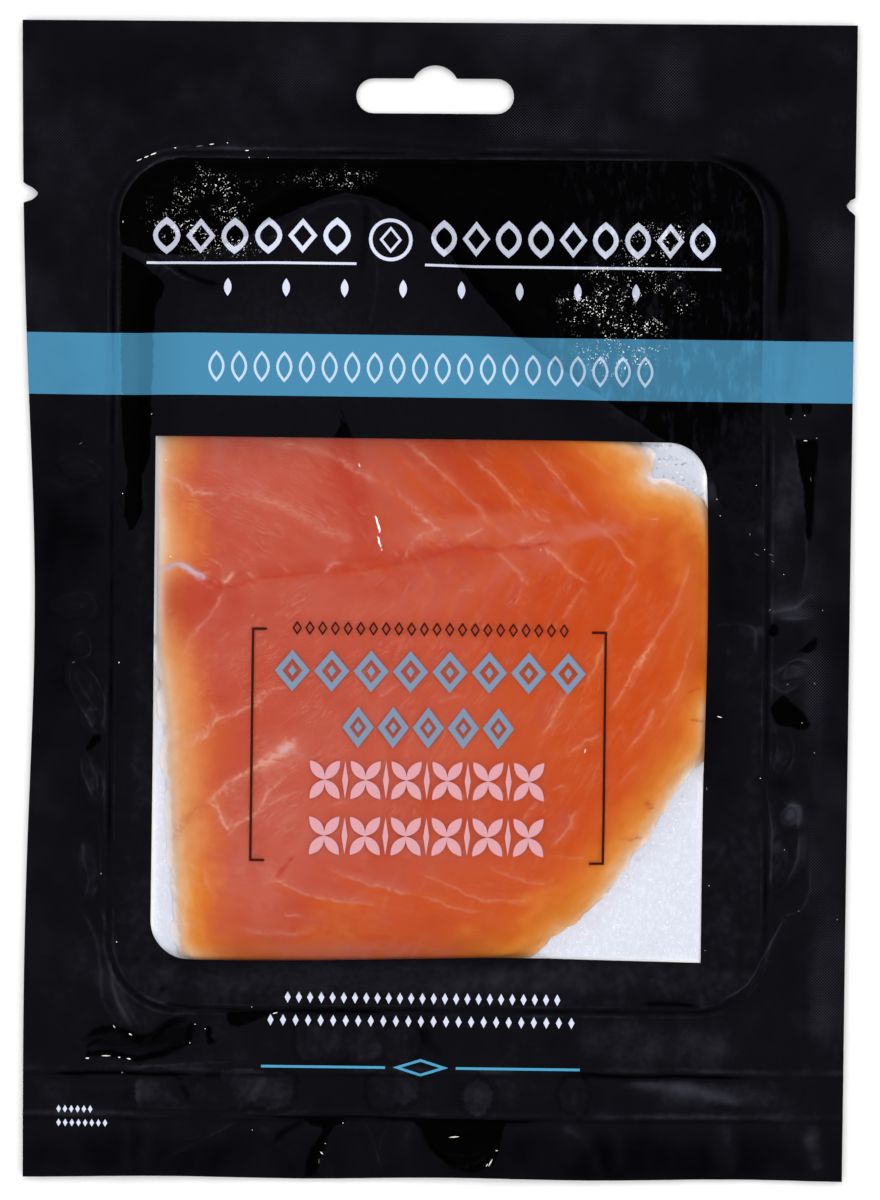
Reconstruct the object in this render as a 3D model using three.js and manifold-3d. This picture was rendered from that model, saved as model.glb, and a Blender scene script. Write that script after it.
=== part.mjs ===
// A pack of sliced smoked salmon: a printed film pouch on a carrier board, with a clear window.
// Millimetres, +Z up. The pack lies on its back, its hang hole towards +Y.
// The origin is on the table, under the middle of the pouch.
import * as THREE from "three";
import { mergeVertices } from "three/addons/utils/BufferGeometryUtils.js";
import Module from "manifold-3d";

const wasm = await Module();
wasm.setup();

// Pouch: two webs of film, welded all round. Its sides draw in where the contents fill it.
const pouchWidth = 165.1;
const pouchHeight = 228.6;
const web = 0.25;
const weld = 2 * web;
const sideTaper = 1.6;
const leftPull = 2.4;
const leftPullReach = 50;
const hemRipple = 0.35;

// Welded margin: it lifts off the table past the foot of the board, in slow waves.
const marginLift = 1.2;
const marginLiftRun = 16;
const marginWave = 0.35;
const boardFootRun = 3.2;

// Contents, stacked on the back web.
const gap = 0.3;
const boardWidth = 127.9;
const boardHeight = 167.6;
const boardThickness = 0.6;
const boardCorner = 13;
const boardCentre = new THREE.Vector2(0.6, 3.7);
const salmonThickness = 6.8;
const salmonRimRun = 10;
const salmonRimShare = 0.12;
const salmonSwell = 0.25;

// Outline of the sliced side: a straight trimmed edge on the left, a belly curve on the right.
const salmonOutline = [
  [-56.2, 59], [-52.5, 65.4], [-42.5, 68.3], [-30.9, 77.4], [-18, 80.9], [-7.3, 76.4],
  [4.2, 65.5], [18.2, 49.6], [29, 40.7], [41.4, 33], [43.4, 25.6], [52.6, 21], [56.8, 8.5],
  [56.2, -7.4], [52.3, -19.3], [46.1, -31.6], [35.9, -48.3], [24.1, -63.2], [10.4, -73],
  [-20.5, -76.2], [-44.2, -72.8], [-50.7, -61.5], [-53, -28], [-55, -4.2], [-54.6, 19.6],
  [-55.9, 43.3],
].map(([x, y]) => new THREE.Vector2(x, y));

// Crease of the lateral line, across the upper half of the fish.
const creaseDepth = 0.5;
const creaseWidth = 1.2;
const creaseRoute = [[-48, 5], [-40, 2], [-20, 4], [-5, 6.5], [12, 11], [30, 15]];

// Front print and punched features.
const windowCentre = new THREE.Vector2(-1.4, -19.7);
const windowWidth = 108.8;
const windowHeight = 103.1;
const windowUpperRightRadius = 8.9;
const windowLowerLeftRadius = 7.5;
const windowTilt = -0.3;
const hangHole = { x: -0.9, y: 99.8, width: 31.2, height: 6.9, bumpRadius: 4.8, bumpRise: 2.6 };
const tearNotches = [
  { side: -1, y: 80, depth: 3, height: 3.6 },
  { side: 1, y: 78.6, depth: 1.8, height: 3 },
];
const sealRidges = { ys: [-94, -101.6], width: 1.8, rise: 0.25, endMargin: 2 };

// Mesh density: rays run from the hub to points spaced along the pouch's edge.
const hub = new THREE.Vector2(-3, 0);
const stationsAcross = 20;
const stationsUp = 28;
const outlineSamples = 360;
const clear = 20;

const finishes = {
  printedFilm: { color: 0x08080a, roughness: 0.2, metalness: 0 },
  clearFilm: { color: 0xffffff, roughness: 0.12, metalness: 0, transparent: true, opacity: 0.25 },
  fish: { color: 0xd9622f, roughness: 0.4, metalness: 0 },
  board: { color: 0xd9deea, roughness: 0.35, metalness: 0 },
};

// ---- solids

function toSolid(geometry) {
  geometry.deleteAttribute("normal");
  geometry.deleteAttribute("uv");
  const merged = mergeVertices(geometry, 1e-4);
  const index = Array.from(merged.index.array);
  const triVerts = [];
  for (let i = 0; i < index.length; i += 3) {
    const [a, b, c] = index.slice(i, i + 3);
    if (a !== b && b !== c && c !== a) {
      triVerts.push(a, b, c);
    }
  }
  return new wasm.Manifold(new wasm.Mesh({
    numProp: 3,
    vertProperties: new Float32Array(merged.attributes.position.array),
    triVerts: new Uint32Array(triVerts),
  }));
}

function toMesh(name, solid, finish) {
  const { vertProperties, triVerts } = solid.getMesh();
  const geometry = new THREE.BufferGeometry();
  geometry.setAttribute("position", new THREE.BufferAttribute(vertProperties, 3));
  geometry.setIndex(new THREE.BufferAttribute(triVerts, 1));
  geometry.computeVertexNormals();
  const mesh = new THREE.Mesh(geometry, new THREE.MeshStandardMaterial(finish));
  mesh.name = name;
  return mesh;
}

// A flat outline made into an upright column from one level to another.
function column(shape, from, to) {
  const geometry = new THREE.ExtrudeGeometry(shape, {
    depth: to - from,
    bevelEnabled: false,
    curveSegments: 8,
  });
  geometry.translate(0, 0, from);
  return toSolid(geometry);
}

// ---- rays from the hub, and how far each one runs to an outline

function shareDown(y) {
  return (pouchHeight / 2 - y) / pouchHeight;
}

function leftEdge(y) {
  const pull = leftPull * Math.exp(-((y / leftPullReach) ** 2));
  return -pouchWidth / 2 + sideTaper * shareDown(y) + pull;
}

function rightEdge(y) {
  return pouchWidth / 2 - sideTaper * shareDown(y);
}

function bottomEdge(x) {
  return -pouchHeight / 2 + hemRipple * (1 - Math.cos((x + pouchWidth / 2) / 9)) * 0.5;
}

// Points along the pouch's edge, anticlockwise from the lower left corner.
function pouchEdge() {
  const points = [];
  for (let i = 0; i < stationsAcross; i += 1) {
    const low = -pouchHeight / 2;
    const x = THREE.MathUtils.lerp(leftEdge(low), rightEdge(low), i / stationsAcross);
    points.push(new THREE.Vector2(x, bottomEdge(x)));
  }
  for (let i = 0; i < stationsUp; i += 1) {
    const y = pouchHeight * (i / stationsUp - 0.5);
    points.push(new THREE.Vector2(rightEdge(y), y));
  }
  for (let i = 0; i < stationsAcross; i += 1) {
    points.push(new THREE.Vector2(pouchWidth * (0.5 - i / stationsAcross), pouchHeight / 2));
  }
  for (let i = 0; i < stationsUp; i += 1) {
    const y = pouchHeight * (0.5 - i / stationsUp);
    points.push(new THREE.Vector2(leftEdge(y), y));
  }
  return points;
}

function roundedBoard() {
  const shape = new THREE.Shape();
  const x = boardWidth / 2 - boardCorner;
  const y = boardHeight / 2 - boardCorner;
  const quarter = Math.PI / 2;
  const corners = [[x, y, 0], [-x, y, 1], [-x, -y, 2], [x, -y, 3]];
  for (const [cx, cy, turn] of corners) {
    const start = turn * quarter;
    shape.absarc(boardCentre.x + cx, boardCentre.y + cy, boardCorner, start, start + quarter);
  }
  return shape.getSpacedPoints(outlineSamples);
}

function salmonEdge() {
  const points = salmonOutline.map(({ x, y }) => new THREE.Vector3(x, y, 0));
  const curve = new THREE.CatmullRomCurve3(points, true, "centripetal");
  return curve.getSpacedPoints(outlineSamples).map(({ x, y }) => new THREE.Vector2(x, y));
}

function reachTo(outline, direction) {
  for (let i = 0; i < outline.length; i += 1) {
    const from = outline[i].clone().sub(hub);
    const edge = outline[(i + 1) % outline.length].clone().sub(outline[i]);
    const turn = direction.cross(edge);
    const share = from.cross(direction) / turn;
    const reach = from.cross(edge) / turn;
    if (reach > 0 && share >= 0 && share < 1) {
      return reach;
    }
  }
  throw new Error("an outline does not surround the hub");
}

const boardEdge = roundedBoard();
const fishEdge = salmonEdge();
const rays = pouchEdge().map((end) => {
  const direction = end.clone().sub(hub);
  const pouch = direction.length();
  direction.normalize();
  return {
    direction,
    pouch,
    board: reachTo(boardEdge, direction),
    fish: reachTo(fishEdge, direction),
  };
});

// A closed solid through rings of points. Each stop is one ring: how far along the ray it lies
// and how high. The stops run from the hub's underside, out to the edge and back over the top.
function raySolid(stops) {
  const last = stops.length - 1;
  const skeleton = stops.map((_, j) => new THREE.Vector2(j === 0 || j === last ? 0 : 1, j));
  const lathe = new THREE.LatheGeometry(skeleton, rays.length);
  const position = lathe.getAttribute("position");
  for (let v = 0; v < position.count; v += 1) {
    const ray = rays[Math.floor(v / stops.length) % rays.length];
    const [reach, height] = stops[v % stops.length];
    const x = hub.x + ray.direction.x * reach(ray);
    const y = hub.y + ray.direction.y * reach(ray);
    position.setXYZ(v, x, y, height(x, y));
  }
  return toSolid(lathe);
}

// ---- levels and heights

const boardLevel = web + gap;
const salmonLevel = boardLevel + boardThickness + gap;
const filmOnBoard = salmonLevel + web;

// The stack of slices is not quite even, and the film follows it.
function swell(x, y) {
  return salmonSwell * Math.sin(x / 17 + 1) * Math.cos(y / 21);
}

function distanceOffBoard(x, y) {
  const dx = Math.abs(x - boardCentre.x) - (boardWidth / 2 - boardCorner);
  const dy = Math.abs(y - boardCentre.y) - (boardHeight / 2 - boardCorner);
  return Math.hypot(Math.max(dx, 0), Math.max(dy, 0)) - boardCorner;
}

function lift(x, y) {
  const run = distanceOffBoard(x, y) - boardFootRun;
  const rise = THREE.MathUtils.smoothstep(run, 0, marginLiftRun);
  const wave = 1 + marginWave * Math.sin(x / 13) * Math.cos(y / 16 + 0.6);
  return marginLift * rise * wave;
}

// Share of the full thickness, at a distance inside the fish's edge.
function fishShare(inside) {
  const rise = Math.sin((Math.PI / 2) * Math.min(inside / salmonRimRun, 1));
  return salmonRimShare + (1 - salmonRimShare) * rise;
}

// The film spans the rim, from its foot on the board to the top of the stack.
const filmFoot = 4.5;
const filmFullness = 1.2;

function filmShare(inside) {
  const along = (inside + filmFoot) / (salmonRimRun + filmFoot);
  return Math.sin((Math.PI / 2) * Math.min(along, 1)) ** filmFullness;
}

const fishSteps = [0, 1.5, 4, 7, salmonRimRun];
const topSteps = [0.62, 0.28];

function fishStops() {
  const rim = fishSteps.map((inside) => [
    (ray) => ray.fish - inside,
    (x, y) => salmonLevel + fishShare(inside) * (salmonThickness + swell(x, y)),
  ]);
  const top = [...topSteps, 0].map((share) => [
    (ray) => (ray.fish - salmonRimRun) * share,
    (x, y) => salmonLevel + salmonThickness + swell(x, y),
  ]);
  return [...rim, ...top];
}

// The film's face over the contents, lowered by `depth` for its inner side.
function filmStops(depth) {
  const mound = salmonThickness + gap;
  const level = filmOnBoard - depth;
  const footSteps = [[filmFoot, 0.6], [2, 0.25]].map(([outside, share]) => [
    (ray) => ray.fish + Math.min(outside, share * (ray.board - ray.fish)),
    () => level + filmShare(-outside) * mound,
  ]);
  const rim = fishSteps.map((inside) => [
    (ray) => ray.fish - inside,
    (x, y) => level + filmShare(inside) * (mound + swell(x, y)),
  ]);
  const top = [...topSteps, 0].map((share) => [
    (ray) => (ray.fish - salmonRimRun) * share,
    (x, y) => level + mound + swell(x, y),
  ]);
  return [...footSteps, ...rim, ...top];
}

// ---- pieces

function pouchBody() {
  const atHub = [() => 0, () => 0];
  const foot = (ray) => ray.board + boardFootRun;
  const margin = [0, 1 / 3, 2 / 3, 1].map((share) => (ray) => (
    THREE.MathUtils.lerp(foot(ray), ray.pouch, share)
  ));
  const underside = margin.map((reach) => [reach, lift]);
  const upper = margin.map((reach) => [reach, (x, y) => lift(x, y) + weld]).reverse();
  const brow = [(ray) => ray.board + gap, () => filmOnBoard];
  return raySolid([atHub, ...underside, ...upper, brow, ...filmStops(0)]);
}

function cavity() {
  const atHub = [() => 0, () => web];
  const lowerWall = [(ray) => ray.board + gap, () => web];
  const upperWall = [(ray) => ray.board + gap, () => filmOnBoard - web];
  return raySolid([atHub, lowerWall, upperWall, ...filmStops(web)]);
}

// The window's outline, drawn in by `inset`: two corners are round and two are sharp.
function windowShape(inset) {
  const x = windowWidth / 2 - inset;
  const y = windowHeight / 2 - inset;
  const upper = windowUpperRightRadius - inset;
  const lower = windowLowerLeftRadius - inset;
  const shape = new THREE.Shape();
  shape.moveTo(x, -y);
  shape.lineTo(x, y - upper);
  shape.absarc(x - upper, y - upper, upper, 0, Math.PI / 2);
  shape.lineTo(-x, y);
  shape.absarc(-x + lower, -y + lower, lower, Math.PI, 1.5 * Math.PI);
  shape.closePath();
  return shape;
}

function windowColumn(inset) {
  const upright = column(windowShape(inset), web + gap / 2, clear);
  return upright.rotate([0, 0, windowTilt]).translate([windowCentre.x, windowCentre.y, 0]);
}

// A long slot with round ends and a round bump over its middle.
function hangHoleColumn() {
  const end = hangHole.height / 2;
  const x = hangHole.width / 2 - end;
  const bumpY = end + hangHole.bumpRise - hangHole.bumpRadius;
  const reach = Math.asin((end - bumpY) / hangHole.bumpRadius);
  const shape = new THREE.Shape();
  shape.absarc(x, 0, end, -Math.PI / 2, Math.PI / 2);
  shape.absarc(0, bumpY, hangHole.bumpRadius, reach, Math.PI - reach);
  shape.absarc(-x, 0, end, Math.PI / 2, 1.5 * Math.PI);
  shape.closePath();
  return column(shape, -clear, clear).translate([hangHole.x, hangHole.y, 0]);
}

// A pointed bite in the side of the pouch, between two arcs that meet at its tip.
function tearNotchColumn({ side, y, depth, height }) {
  const edge = side < 0 ? leftEdge(y) : rightEdge(y);
  const shape = new THREE.Shape();
  shape.moveTo(0, -height / 2);
  shape.quadraticCurveTo(depth * 0.8, -height * 0.4, depth, 0);
  shape.quadraticCurveTo(depth * 0.8, height * 0.4, 0, height / 2);
  shape.lineTo(-depth, height / 2);
  shape.lineTo(-depth, -height / 2);
  shape.closePath();
  const bite = column(shape, -clear, clear);
  const turned = side < 0 ? bite : bite.rotate([0, 0, 180]);
  return turned.translate([edge, y, 0]);
}

// A raised line that the sealing bar leaves across the bottom margin.
function sealRidge(y) {
  const { width, rise, endMargin } = sealRidges;
  const length = rightEdge(y) - leftEdge(y) - 2 * endMargin;
  const bar = new THREE.BoxGeometry(length, width, web + rise, 16, 2, 1);
  const position = bar.getAttribute("position");
  const middle = (leftEdge(y) + rightEdge(y)) / 2;
  for (let v = 0; v < position.count; v += 1) {
    const px = position.getX(v) + middle;
    const py = position.getY(v) + y;
    const crown = position.getY(v) === 0 ? rise : 0;
    const top = position.getZ(v) > 0 ? web + crown : 0;
    position.setXYZ(v, px, py, lift(px, py) + web / 2 + top);
  }
  return toSolid(bar);
}

// A shallow V along the crease. The section's x runs down into the fish, from above its surface.
function creaseCut() {
  const section = new THREE.Shape();
  section.moveTo(-creaseDepth, -creaseWidth);
  section.lineTo(creaseDepth, 0);
  section.lineTo(-creaseDepth, creaseWidth);
  section.closePath();
  const level = salmonLevel + salmonThickness;
  const route = creaseRoute.map(([x, y]) => new THREE.Vector3(x, y, level + swell(x, y)));
  return toSolid(new THREE.ExtrudeGeometry(section, {
    steps: 24,
    bevelEnabled: false,
    extrudePath: new THREE.CatmullRomCurve3(route, false, "centripetal"),
  }));
}

const shell = pouchBody().subtract(cavity());
const punches = [hangHoleColumn(), ...tearNotches.map(tearNotchColumn)];
const printedFilm = [windowColumn(0), ...punches].reduce(
  (body, cut) => body.subtract(cut),
  sealRidges.ys.reduce((body, y) => body.add(sealRidge(y)), shell),
);
const clearFilm = shell.intersect(windowColumn(gap));
const fish = raySolid([
  [() => 0, () => salmonLevel],
  [(ray) => ray.fish, () => salmonLevel],
  ...fishStops(),
]);
const carrier = raySolid([
  [() => 0, () => boardLevel],
  [(ray) => ray.board, () => boardLevel],
  [(ray) => ray.board, () => boardLevel + boardThickness],
  [() => 0, () => boardLevel + boardThickness],
]);

const pack = new THREE.Group();
pack.add(toMesh("pouch", printedFilm, finishes.printedFilm));
pack.add(toMesh("window_film", clearFilm, finishes.clearFilm));
pack.add(toMesh("salmon", fish.subtract(creaseCut()), finishes.fish));
pack.add(toMesh("board", carrier, finishes.board));

export default pack;
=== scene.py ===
import math

import bpy
import numpy as np
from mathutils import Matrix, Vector, geometry, kdtree


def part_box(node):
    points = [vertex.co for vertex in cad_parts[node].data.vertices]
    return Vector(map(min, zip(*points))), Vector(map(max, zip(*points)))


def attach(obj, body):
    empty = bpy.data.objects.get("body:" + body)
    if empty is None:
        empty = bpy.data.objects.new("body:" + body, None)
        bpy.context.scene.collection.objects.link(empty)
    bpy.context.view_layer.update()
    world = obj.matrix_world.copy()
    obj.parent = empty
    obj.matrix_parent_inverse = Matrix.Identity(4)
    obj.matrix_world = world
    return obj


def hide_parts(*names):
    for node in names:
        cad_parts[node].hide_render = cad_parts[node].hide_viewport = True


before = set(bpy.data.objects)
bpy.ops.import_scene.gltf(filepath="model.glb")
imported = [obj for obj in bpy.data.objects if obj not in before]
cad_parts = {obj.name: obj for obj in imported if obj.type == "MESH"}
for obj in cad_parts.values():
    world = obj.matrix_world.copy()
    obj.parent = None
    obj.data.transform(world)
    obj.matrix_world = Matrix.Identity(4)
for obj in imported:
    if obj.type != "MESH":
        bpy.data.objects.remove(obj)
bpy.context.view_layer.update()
mm = 0.001  # every length below is in millimetres until a mesh is made


# fields over the pack are plain functions of x and y
def smooth(low, high, value):
    t = np.clip((value - low) / (high - low), 0, 1)
    return t * t * (3 - 2 * t)


def bell(value, width):
    return np.exp(-(value / width) ** 2)


def softSpot(x, y, middleX, middleY, width, longX=1, longY=1):
    # a soft spot, round unless it is drawn out along x or y
    return bell(np.hypot((x - middleX) / longX, (y - middleY) / longY), width)


def ovalParts(x, y, middleX, middleY, halfWidth, halfHeight, degrees):
    # places in a turned oval along its own two axes, 1 at its edge
    angle = math.radians(degrees)
    dx, dy = x - middleX, y - middleY
    u = (dx * math.cos(angle) + dy * math.sin(angle)) / halfWidth
    v = (dy * math.cos(angle) - dx * math.sin(angle)) / halfHeight
    return u, v


def within(x, y, low, high):
    return (x > low[0]) & (x < high[0]) & (y > low[1]) & (y < high[1])


def lumps(x, y, seed):
    # gradient noise from about -1 to 1, one lump per unit
    cellX, cellY = np.floor(x), np.floor(y)
    inX, inY = x - cellX, y - cellY

    def corner(stepX, stepY):
        turn = np.sin((cellX + stepX) * 127.1 + (cellY + stepY) * 311.7 + seed * 74.7) * 43758.5453
        angle = 2 * math.pi * (turn - np.floor(turn))
        return np.cos(angle) * (inX - stepX) + np.sin(angle) * (inY - stepY)

    easeX, easeY = smooth(0, 1, inX), smooth(0, 1, inY)
    low = corner(0, 0) + (corner(1, 0) - corner(0, 0)) * easeX
    high = corner(0, 1) + (corner(1, 1) - corner(0, 1)) * easeX
    return 1.4 * (low + (high - low) * easeY)


def curveThrough(points, perSpan, closed=False):
    # a smooth curve through the given points (Catmull-Rom)
    points = np.array(points, float)
    if closed:
        padded = np.vstack([points[-1:], points, points[:2]])
    else:
        padded = np.vstack([2 * points[:1] - points[1:2], points, 2 * points[-1:] - points[-2:-1]])
    made = []
    for i in range(1, len(padded) - 2):
        before, start, end, after = padded[i - 1:i + 3]
        for t in np.arange(perSpan) / perSpan:
            made.append(0.5 * (2 * start + (end - before) * t
                               + (2 * before - 5 * start + 4 * end - after) * t ** 2
                               + (3 * start - before - 3 * end + after) * t ** 3))
    if not closed:
        made.append(padded[-2])
    return np.array(made)


def distanceTo(line, x, y, closed=False):
    # distance from each point to a line, how far along it the nearest place is (0 to 1), and on which side
    best = np.full(x.shape, 1e9)
    along, side = np.zeros(x.shape), np.ones(x.shape)
    ends = np.roll(line, -1, axis=0) if closed else line[1:]
    starts = line if closed else line[:-1]
    spans = np.hypot(*(ends - starts).T)
    total, run = spans.sum(), 0.0
    for (x0, y0), (x1, y1), span in zip(starts, ends, spans):
        if span < 1e-9:
            continue
        dx, dy = x - x0, y - y0
        t = np.clip((dx * (x1 - x0) + dy * (y1 - y0)) / span ** 2, 0, 1)
        away = np.hypot(dx - t * (x1 - x0), dy - t * (y1 - y0))
        nearer = away < best
        best[nearer] = away[nearer]
        along[nearer] = (run + t[nearer] * span) / total
        side[nearer] = np.sign((x1 - x0) * dy - (y1 - y0) * dx)[nearer]
        run += span
    return best, along, side


def insideLoop(loop, x, y):
    hit = np.zeros(x.shape, bool)
    low, high = loop.min(0), loop.max(0)
    near = (x >= low[0]) & (x <= high[0]) & (y >= low[1]) & (y <= high[1])
    px, py = x[near], y[near]
    odd = np.zeros(px.shape, bool)
    for (x0, y0), (x1, y1) in zip(loop, np.roll(loop, -1, axis=0)):
        if y0 == y1:
            continue
        crosses = (y0 > py) != (y1 > py)
        odd ^= crosses & (px < (x1 - x0) * (py - y0) / (y1 - y0) + x0)
    hit[near] = odd
    return hit


# profiles of a stroke across its width; side is 1 on the left of the line and -1 on the right
def soft(away, width, side):
    return bell(away, width)


def fine(away, width, side):
    # a thin bright core with a glow, mostly on one side
    glow = np.where(side > 0, 0.34 * bell(away, 1.5 * width), 0.14 * bell(away, 0.9 * width))
    return 0.8 * bell(away, 0.3 * width) + 0.8 * glow


def leaning(away, width, side):
    # positive on one side of the line and negative on the other
    return side * bell(away, width)


def strokes(lines, x, y, profile=soft):
    # sum of strokes that taper towards their ends; each is (strength, width, line)
    total = np.zeros(x.shape)
    for strength, width, line in lines:
        line = np.array(line)
        reach = 3 * width
        near = within(x, y, line.min(0) - reach, line.max(0) + reach)
        away, along, side = distanceTo(line, x[near], y[near])
        taper = smooth(0, 0.15, along) * smooth(1, 0.85, along) * 0.75 + 0.25
        total[near] += strength * profile(away, width * (0.5 + 0.5 * taper), side) * taper
    return total


def curved(lines, waver=0, step=0.6):
    # the same strokes with smooth, slightly wavering lines through their points
    made = []
    for strength, width, points in lines:
        line = curveThrough(points, perSpan=24)
        run = np.concatenate([[0], np.cumsum(np.hypot(*np.diff(line, axis=0).T))])
        places = np.linspace(0, run[-1], max(3, int(run[-1] / step)))
        line = np.column_stack([np.interp(places, run, line[:, 0]), np.interp(places, run, line[:, 1])])
        x, y = line[:, 0], line[:, 1]
        shiftX = lumps(x / 2.3, y / 2.3, 41) + 0.5 * lumps(x / 0.9, y / 0.9, 43)
        shiftY = lumps(x / 2.3, y / 2.3, 42) + 0.5 * lumps(x / 0.9, y / 0.9, 44)
        made.append((strength, width, line + waver * np.column_stack([shiftX, shiftY])))
    return made


def patches(shapes, x, y):
    # soft ovals: strength, x, y, half width, half height, degrees
    total = np.zeros(x.shape)
    for strength, *oval in shapes:
        u, v = ovalParts(x, y, *oval)
        total += strength * smooth(1.5, 0.4, np.hypot(u, v))
    return total


class Sock:
    # a node's output that can be used in ordinary maths
    def __init__(self, finish, socket):
        self.finish = finish
        self.socket = socket

    def maths(self, operation, *values):
        return self.finish.node("Math", {"operation": operation}, dict(enumerate(values)))

    def __add__(self, other):
        return self.maths("ADD", self, other)

    def __sub__(self, other):
        return self.maths("SUBTRACT", self, other)

    def __rsub__(self, other):
        return self.maths("SUBTRACT", other, self)

    def __mul__(self, other):
        return self.maths("MULTIPLY", self, other)

    def __truediv__(self, other):
        return self.maths("DIVIDE", self, other)

    def __pow__(self, other):
        return self.maths("POWER", self, other)

    def __rpow__(self, other):
        return self.maths("POWER", other, self)

    def sine(self):
        return self.maths("SINE", self)

    def size(self):
        return self.maths("ABSOLUTE", self)

    def ridge(self, place, width):
        # 1 at the place, falling to 0 a width away on each side
        return (1 - (self - place).size() / width).atLeast(0)

    def fading(self, run):
        # 1 at nothing, dying away over a distance of about `run`
        return 2.72 ** (-1 * self / run)

    def atMost(self, other):
        return self.maths("MINIMUM", self, other)

    def atLeast(self, other):
        return self.maths("MAXIMUM", self, other)

    def between(self, low, high):
        # 0 at low and 1 at high, eased
        settings = {"interpolation_type": "SMOOTHSTEP"}
        return self.finish.node("MapRange", settings, {"Value": self, "From Min": low, "From Max": high})

    __radd__ = __add__
    __rmul__ = __mul__


class Finish:
    # the nodes of one material, or of the world
    def __init__(self, name, owners=bpy.data.materials):
        self.owner = owners.new(name)
        self.owner.use_nodes = True
        self.tree = self.owner.node_tree
        self.tree.nodes.clear()

    def node(self, kind, settings=None, values=None, out=None):
        made = self.tree.nodes.new("ShaderNode" + kind)
        for key, value in (settings or {}).items():
            if key == "stops":
                self.setStops(made.color_ramp, value)
            else:
                setattr(made, key, value)
        for key, value in (values or {}).items():
            if isinstance(value, Sock):
                self.tree.links.new(value.socket, made.inputs[key])
            else:
                made.inputs[key].default_value = value
        if out is None:
            out = [s.enabled for s in made.outputs].index(True) if made.outputs else None
        return Sock(self, made.outputs[out]) if out is not None else made

    def setStops(self, ramp, stops):
        while len(ramp.elements) < len(stops):
            ramp.elements.new(1)
        for element, (place, colour) in zip(ramp.elements, stops):
            element.position = place
            element.color = colour

    def blend(self, share, first, second, way="MIX"):
        return self.node("Mix", {"data_type": "RGBA", "blend_type": way}, {0: share, 6: first, 7: second})

    def dimmed(self, tone, share):
        # a colour times a plain share
        grey = self.node("CombineXYZ", {}, {0: share, 1: share, 2: share})
        return self.blend(1, tone, grey, "MULTIPLY")

    def field(self, name, out="Fac"):
        return self.node("Attribute", {"attribute_name": name}, out=out)

    def place(self, stretch=(1, 1, 1)):
        # the place on the pack in millimetres, times `stretch` along x, y and z
        spot = self.node("TexCoord", out="Object")
        scale = [s / mm for s in stretch]
        return self.node("VectorMath", {"operation": "MULTIPLY"}, {0: spot, 1: scale})

    def parts(self, vector):
        # the x, y and z of a vector
        split = self.node("SeparateXYZ", {}, {0: vector}, out=0).socket.node
        return [Sock(self, split.outputs[k]) for k in range(3)]

    def noise(self, size, detail=2, stretch=(1, 1, 1), roughness=0.5):
        # noise whose lumps are about `size` millimetres across
        values = {"Vector": self.place(stretch), "Scale": 1 / size, "Detail": detail, "Roughness": roughness}
        return self.node("TexNoise", {}, values)

    def bump(self, height, depth, normal=None):
        # depth in millimetres
        values = {"Height": height, "Strength": 1, "Distance": depth * mm}
        if normal is not None:
            values["Normal"] = normal
        return self.node("Bump", {}, values)

    def close(self, shader, kind="OutputMaterial"):
        self.node(kind, {}, {"Surface": shader})
        return self.owner


def colour(code):
    # "#rrggbb" as a linear colour
    parts = [int(code[i:i + 2], 16) / 255 for i in (1, 3, 5)]
    return (*[p / 12.92 if p <= 0.04045 else ((p + 0.055) / 1.055) ** 2.4 for p in parts], 1)


view = {
    "height": 1500,  # of the camera over the pack
    "shown": 237.4,  # of the long side of the frame
    "centre": (0.75, 0.2),
    "roll": 0.4,  # degrees
    "sensor": 24,
}

light = {
    "dome": 1.4,  # strength of the soft light overhead
    "domeStops": [(0, 0.45), (0.42, 0.35), (0.62, 1), (1, 1)],  # sine of the height, share of the strength
    "sparkPlaces": [(-260, 420, 1150), (120, 560, 1050), (-60, 300, 1200)],  # small lamps for the glints
    "sparkSize": 32,
    "sparkPower": 0.5,  # watts
}

floorLook = {
    "half": 2,  # metres from the middle to each side
    "tones": [(0.9, 0.9, 0.9, 1), (0.94, 0.94, 0.94, 1)],
    "grain": 3,
    "roughness": 0.9,
}


def addCamera():
    camera = bpy.data.objects.new("camera", bpy.data.cameras.new("camera"))
    bpy.context.scene.collection.objects.link(camera)
    camera.location = (view["centre"][0] * mm, view["centre"][1] * mm, view["height"] * mm)
    camera.rotation_euler = (0, 0, math.radians(view["roll"]))
    camera.data.sensor_fit = "VERTICAL"
    camera.data.sensor_height = view["sensor"]
    camera.data.lens = view["sensor"] * view["height"] / view["shown"]
    bpy.context.scene.camera = camera
    print("camera", view["height"], "mm over the pack")


def addLights():
    # a soft tent, bright above and dim round the sides, so that steep folds stay dark
    room = Finish("room", bpy.data.worlds)
    _, _, rise = room.parts(room.node("TexCoord", out="Generated"))
    stops = [(place, (share, share, share, 1)) for place, share in light["domeStops"]]
    glow = room.node("ValToRGB", {"stops": stops}, {0: rise})
    shader = room.node("Background", {}, {"Color": glow, "Strength": light["dome"]})
    bpy.context.scene.world = room.close(shader, "OutputWorld")
    for k, place in enumerate(light["sparkPlaces"]):
        lamp = bpy.data.lights.new(f"spark{k}", "AREA")
        lamp.size = light["sparkSize"] * mm
        lamp.energy = light["sparkPower"]
        holder = bpy.data.objects.new(lamp.name, lamp)
        bpy.context.scene.collection.objects.link(holder)
        holder.location = Vector(place) * mm
        holder.rotation_euler = (-holder.location).to_track_quat("-Z", "Y").to_euler()
    print("dome and", len(light["sparkPlaces"]), "small lamps")


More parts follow.
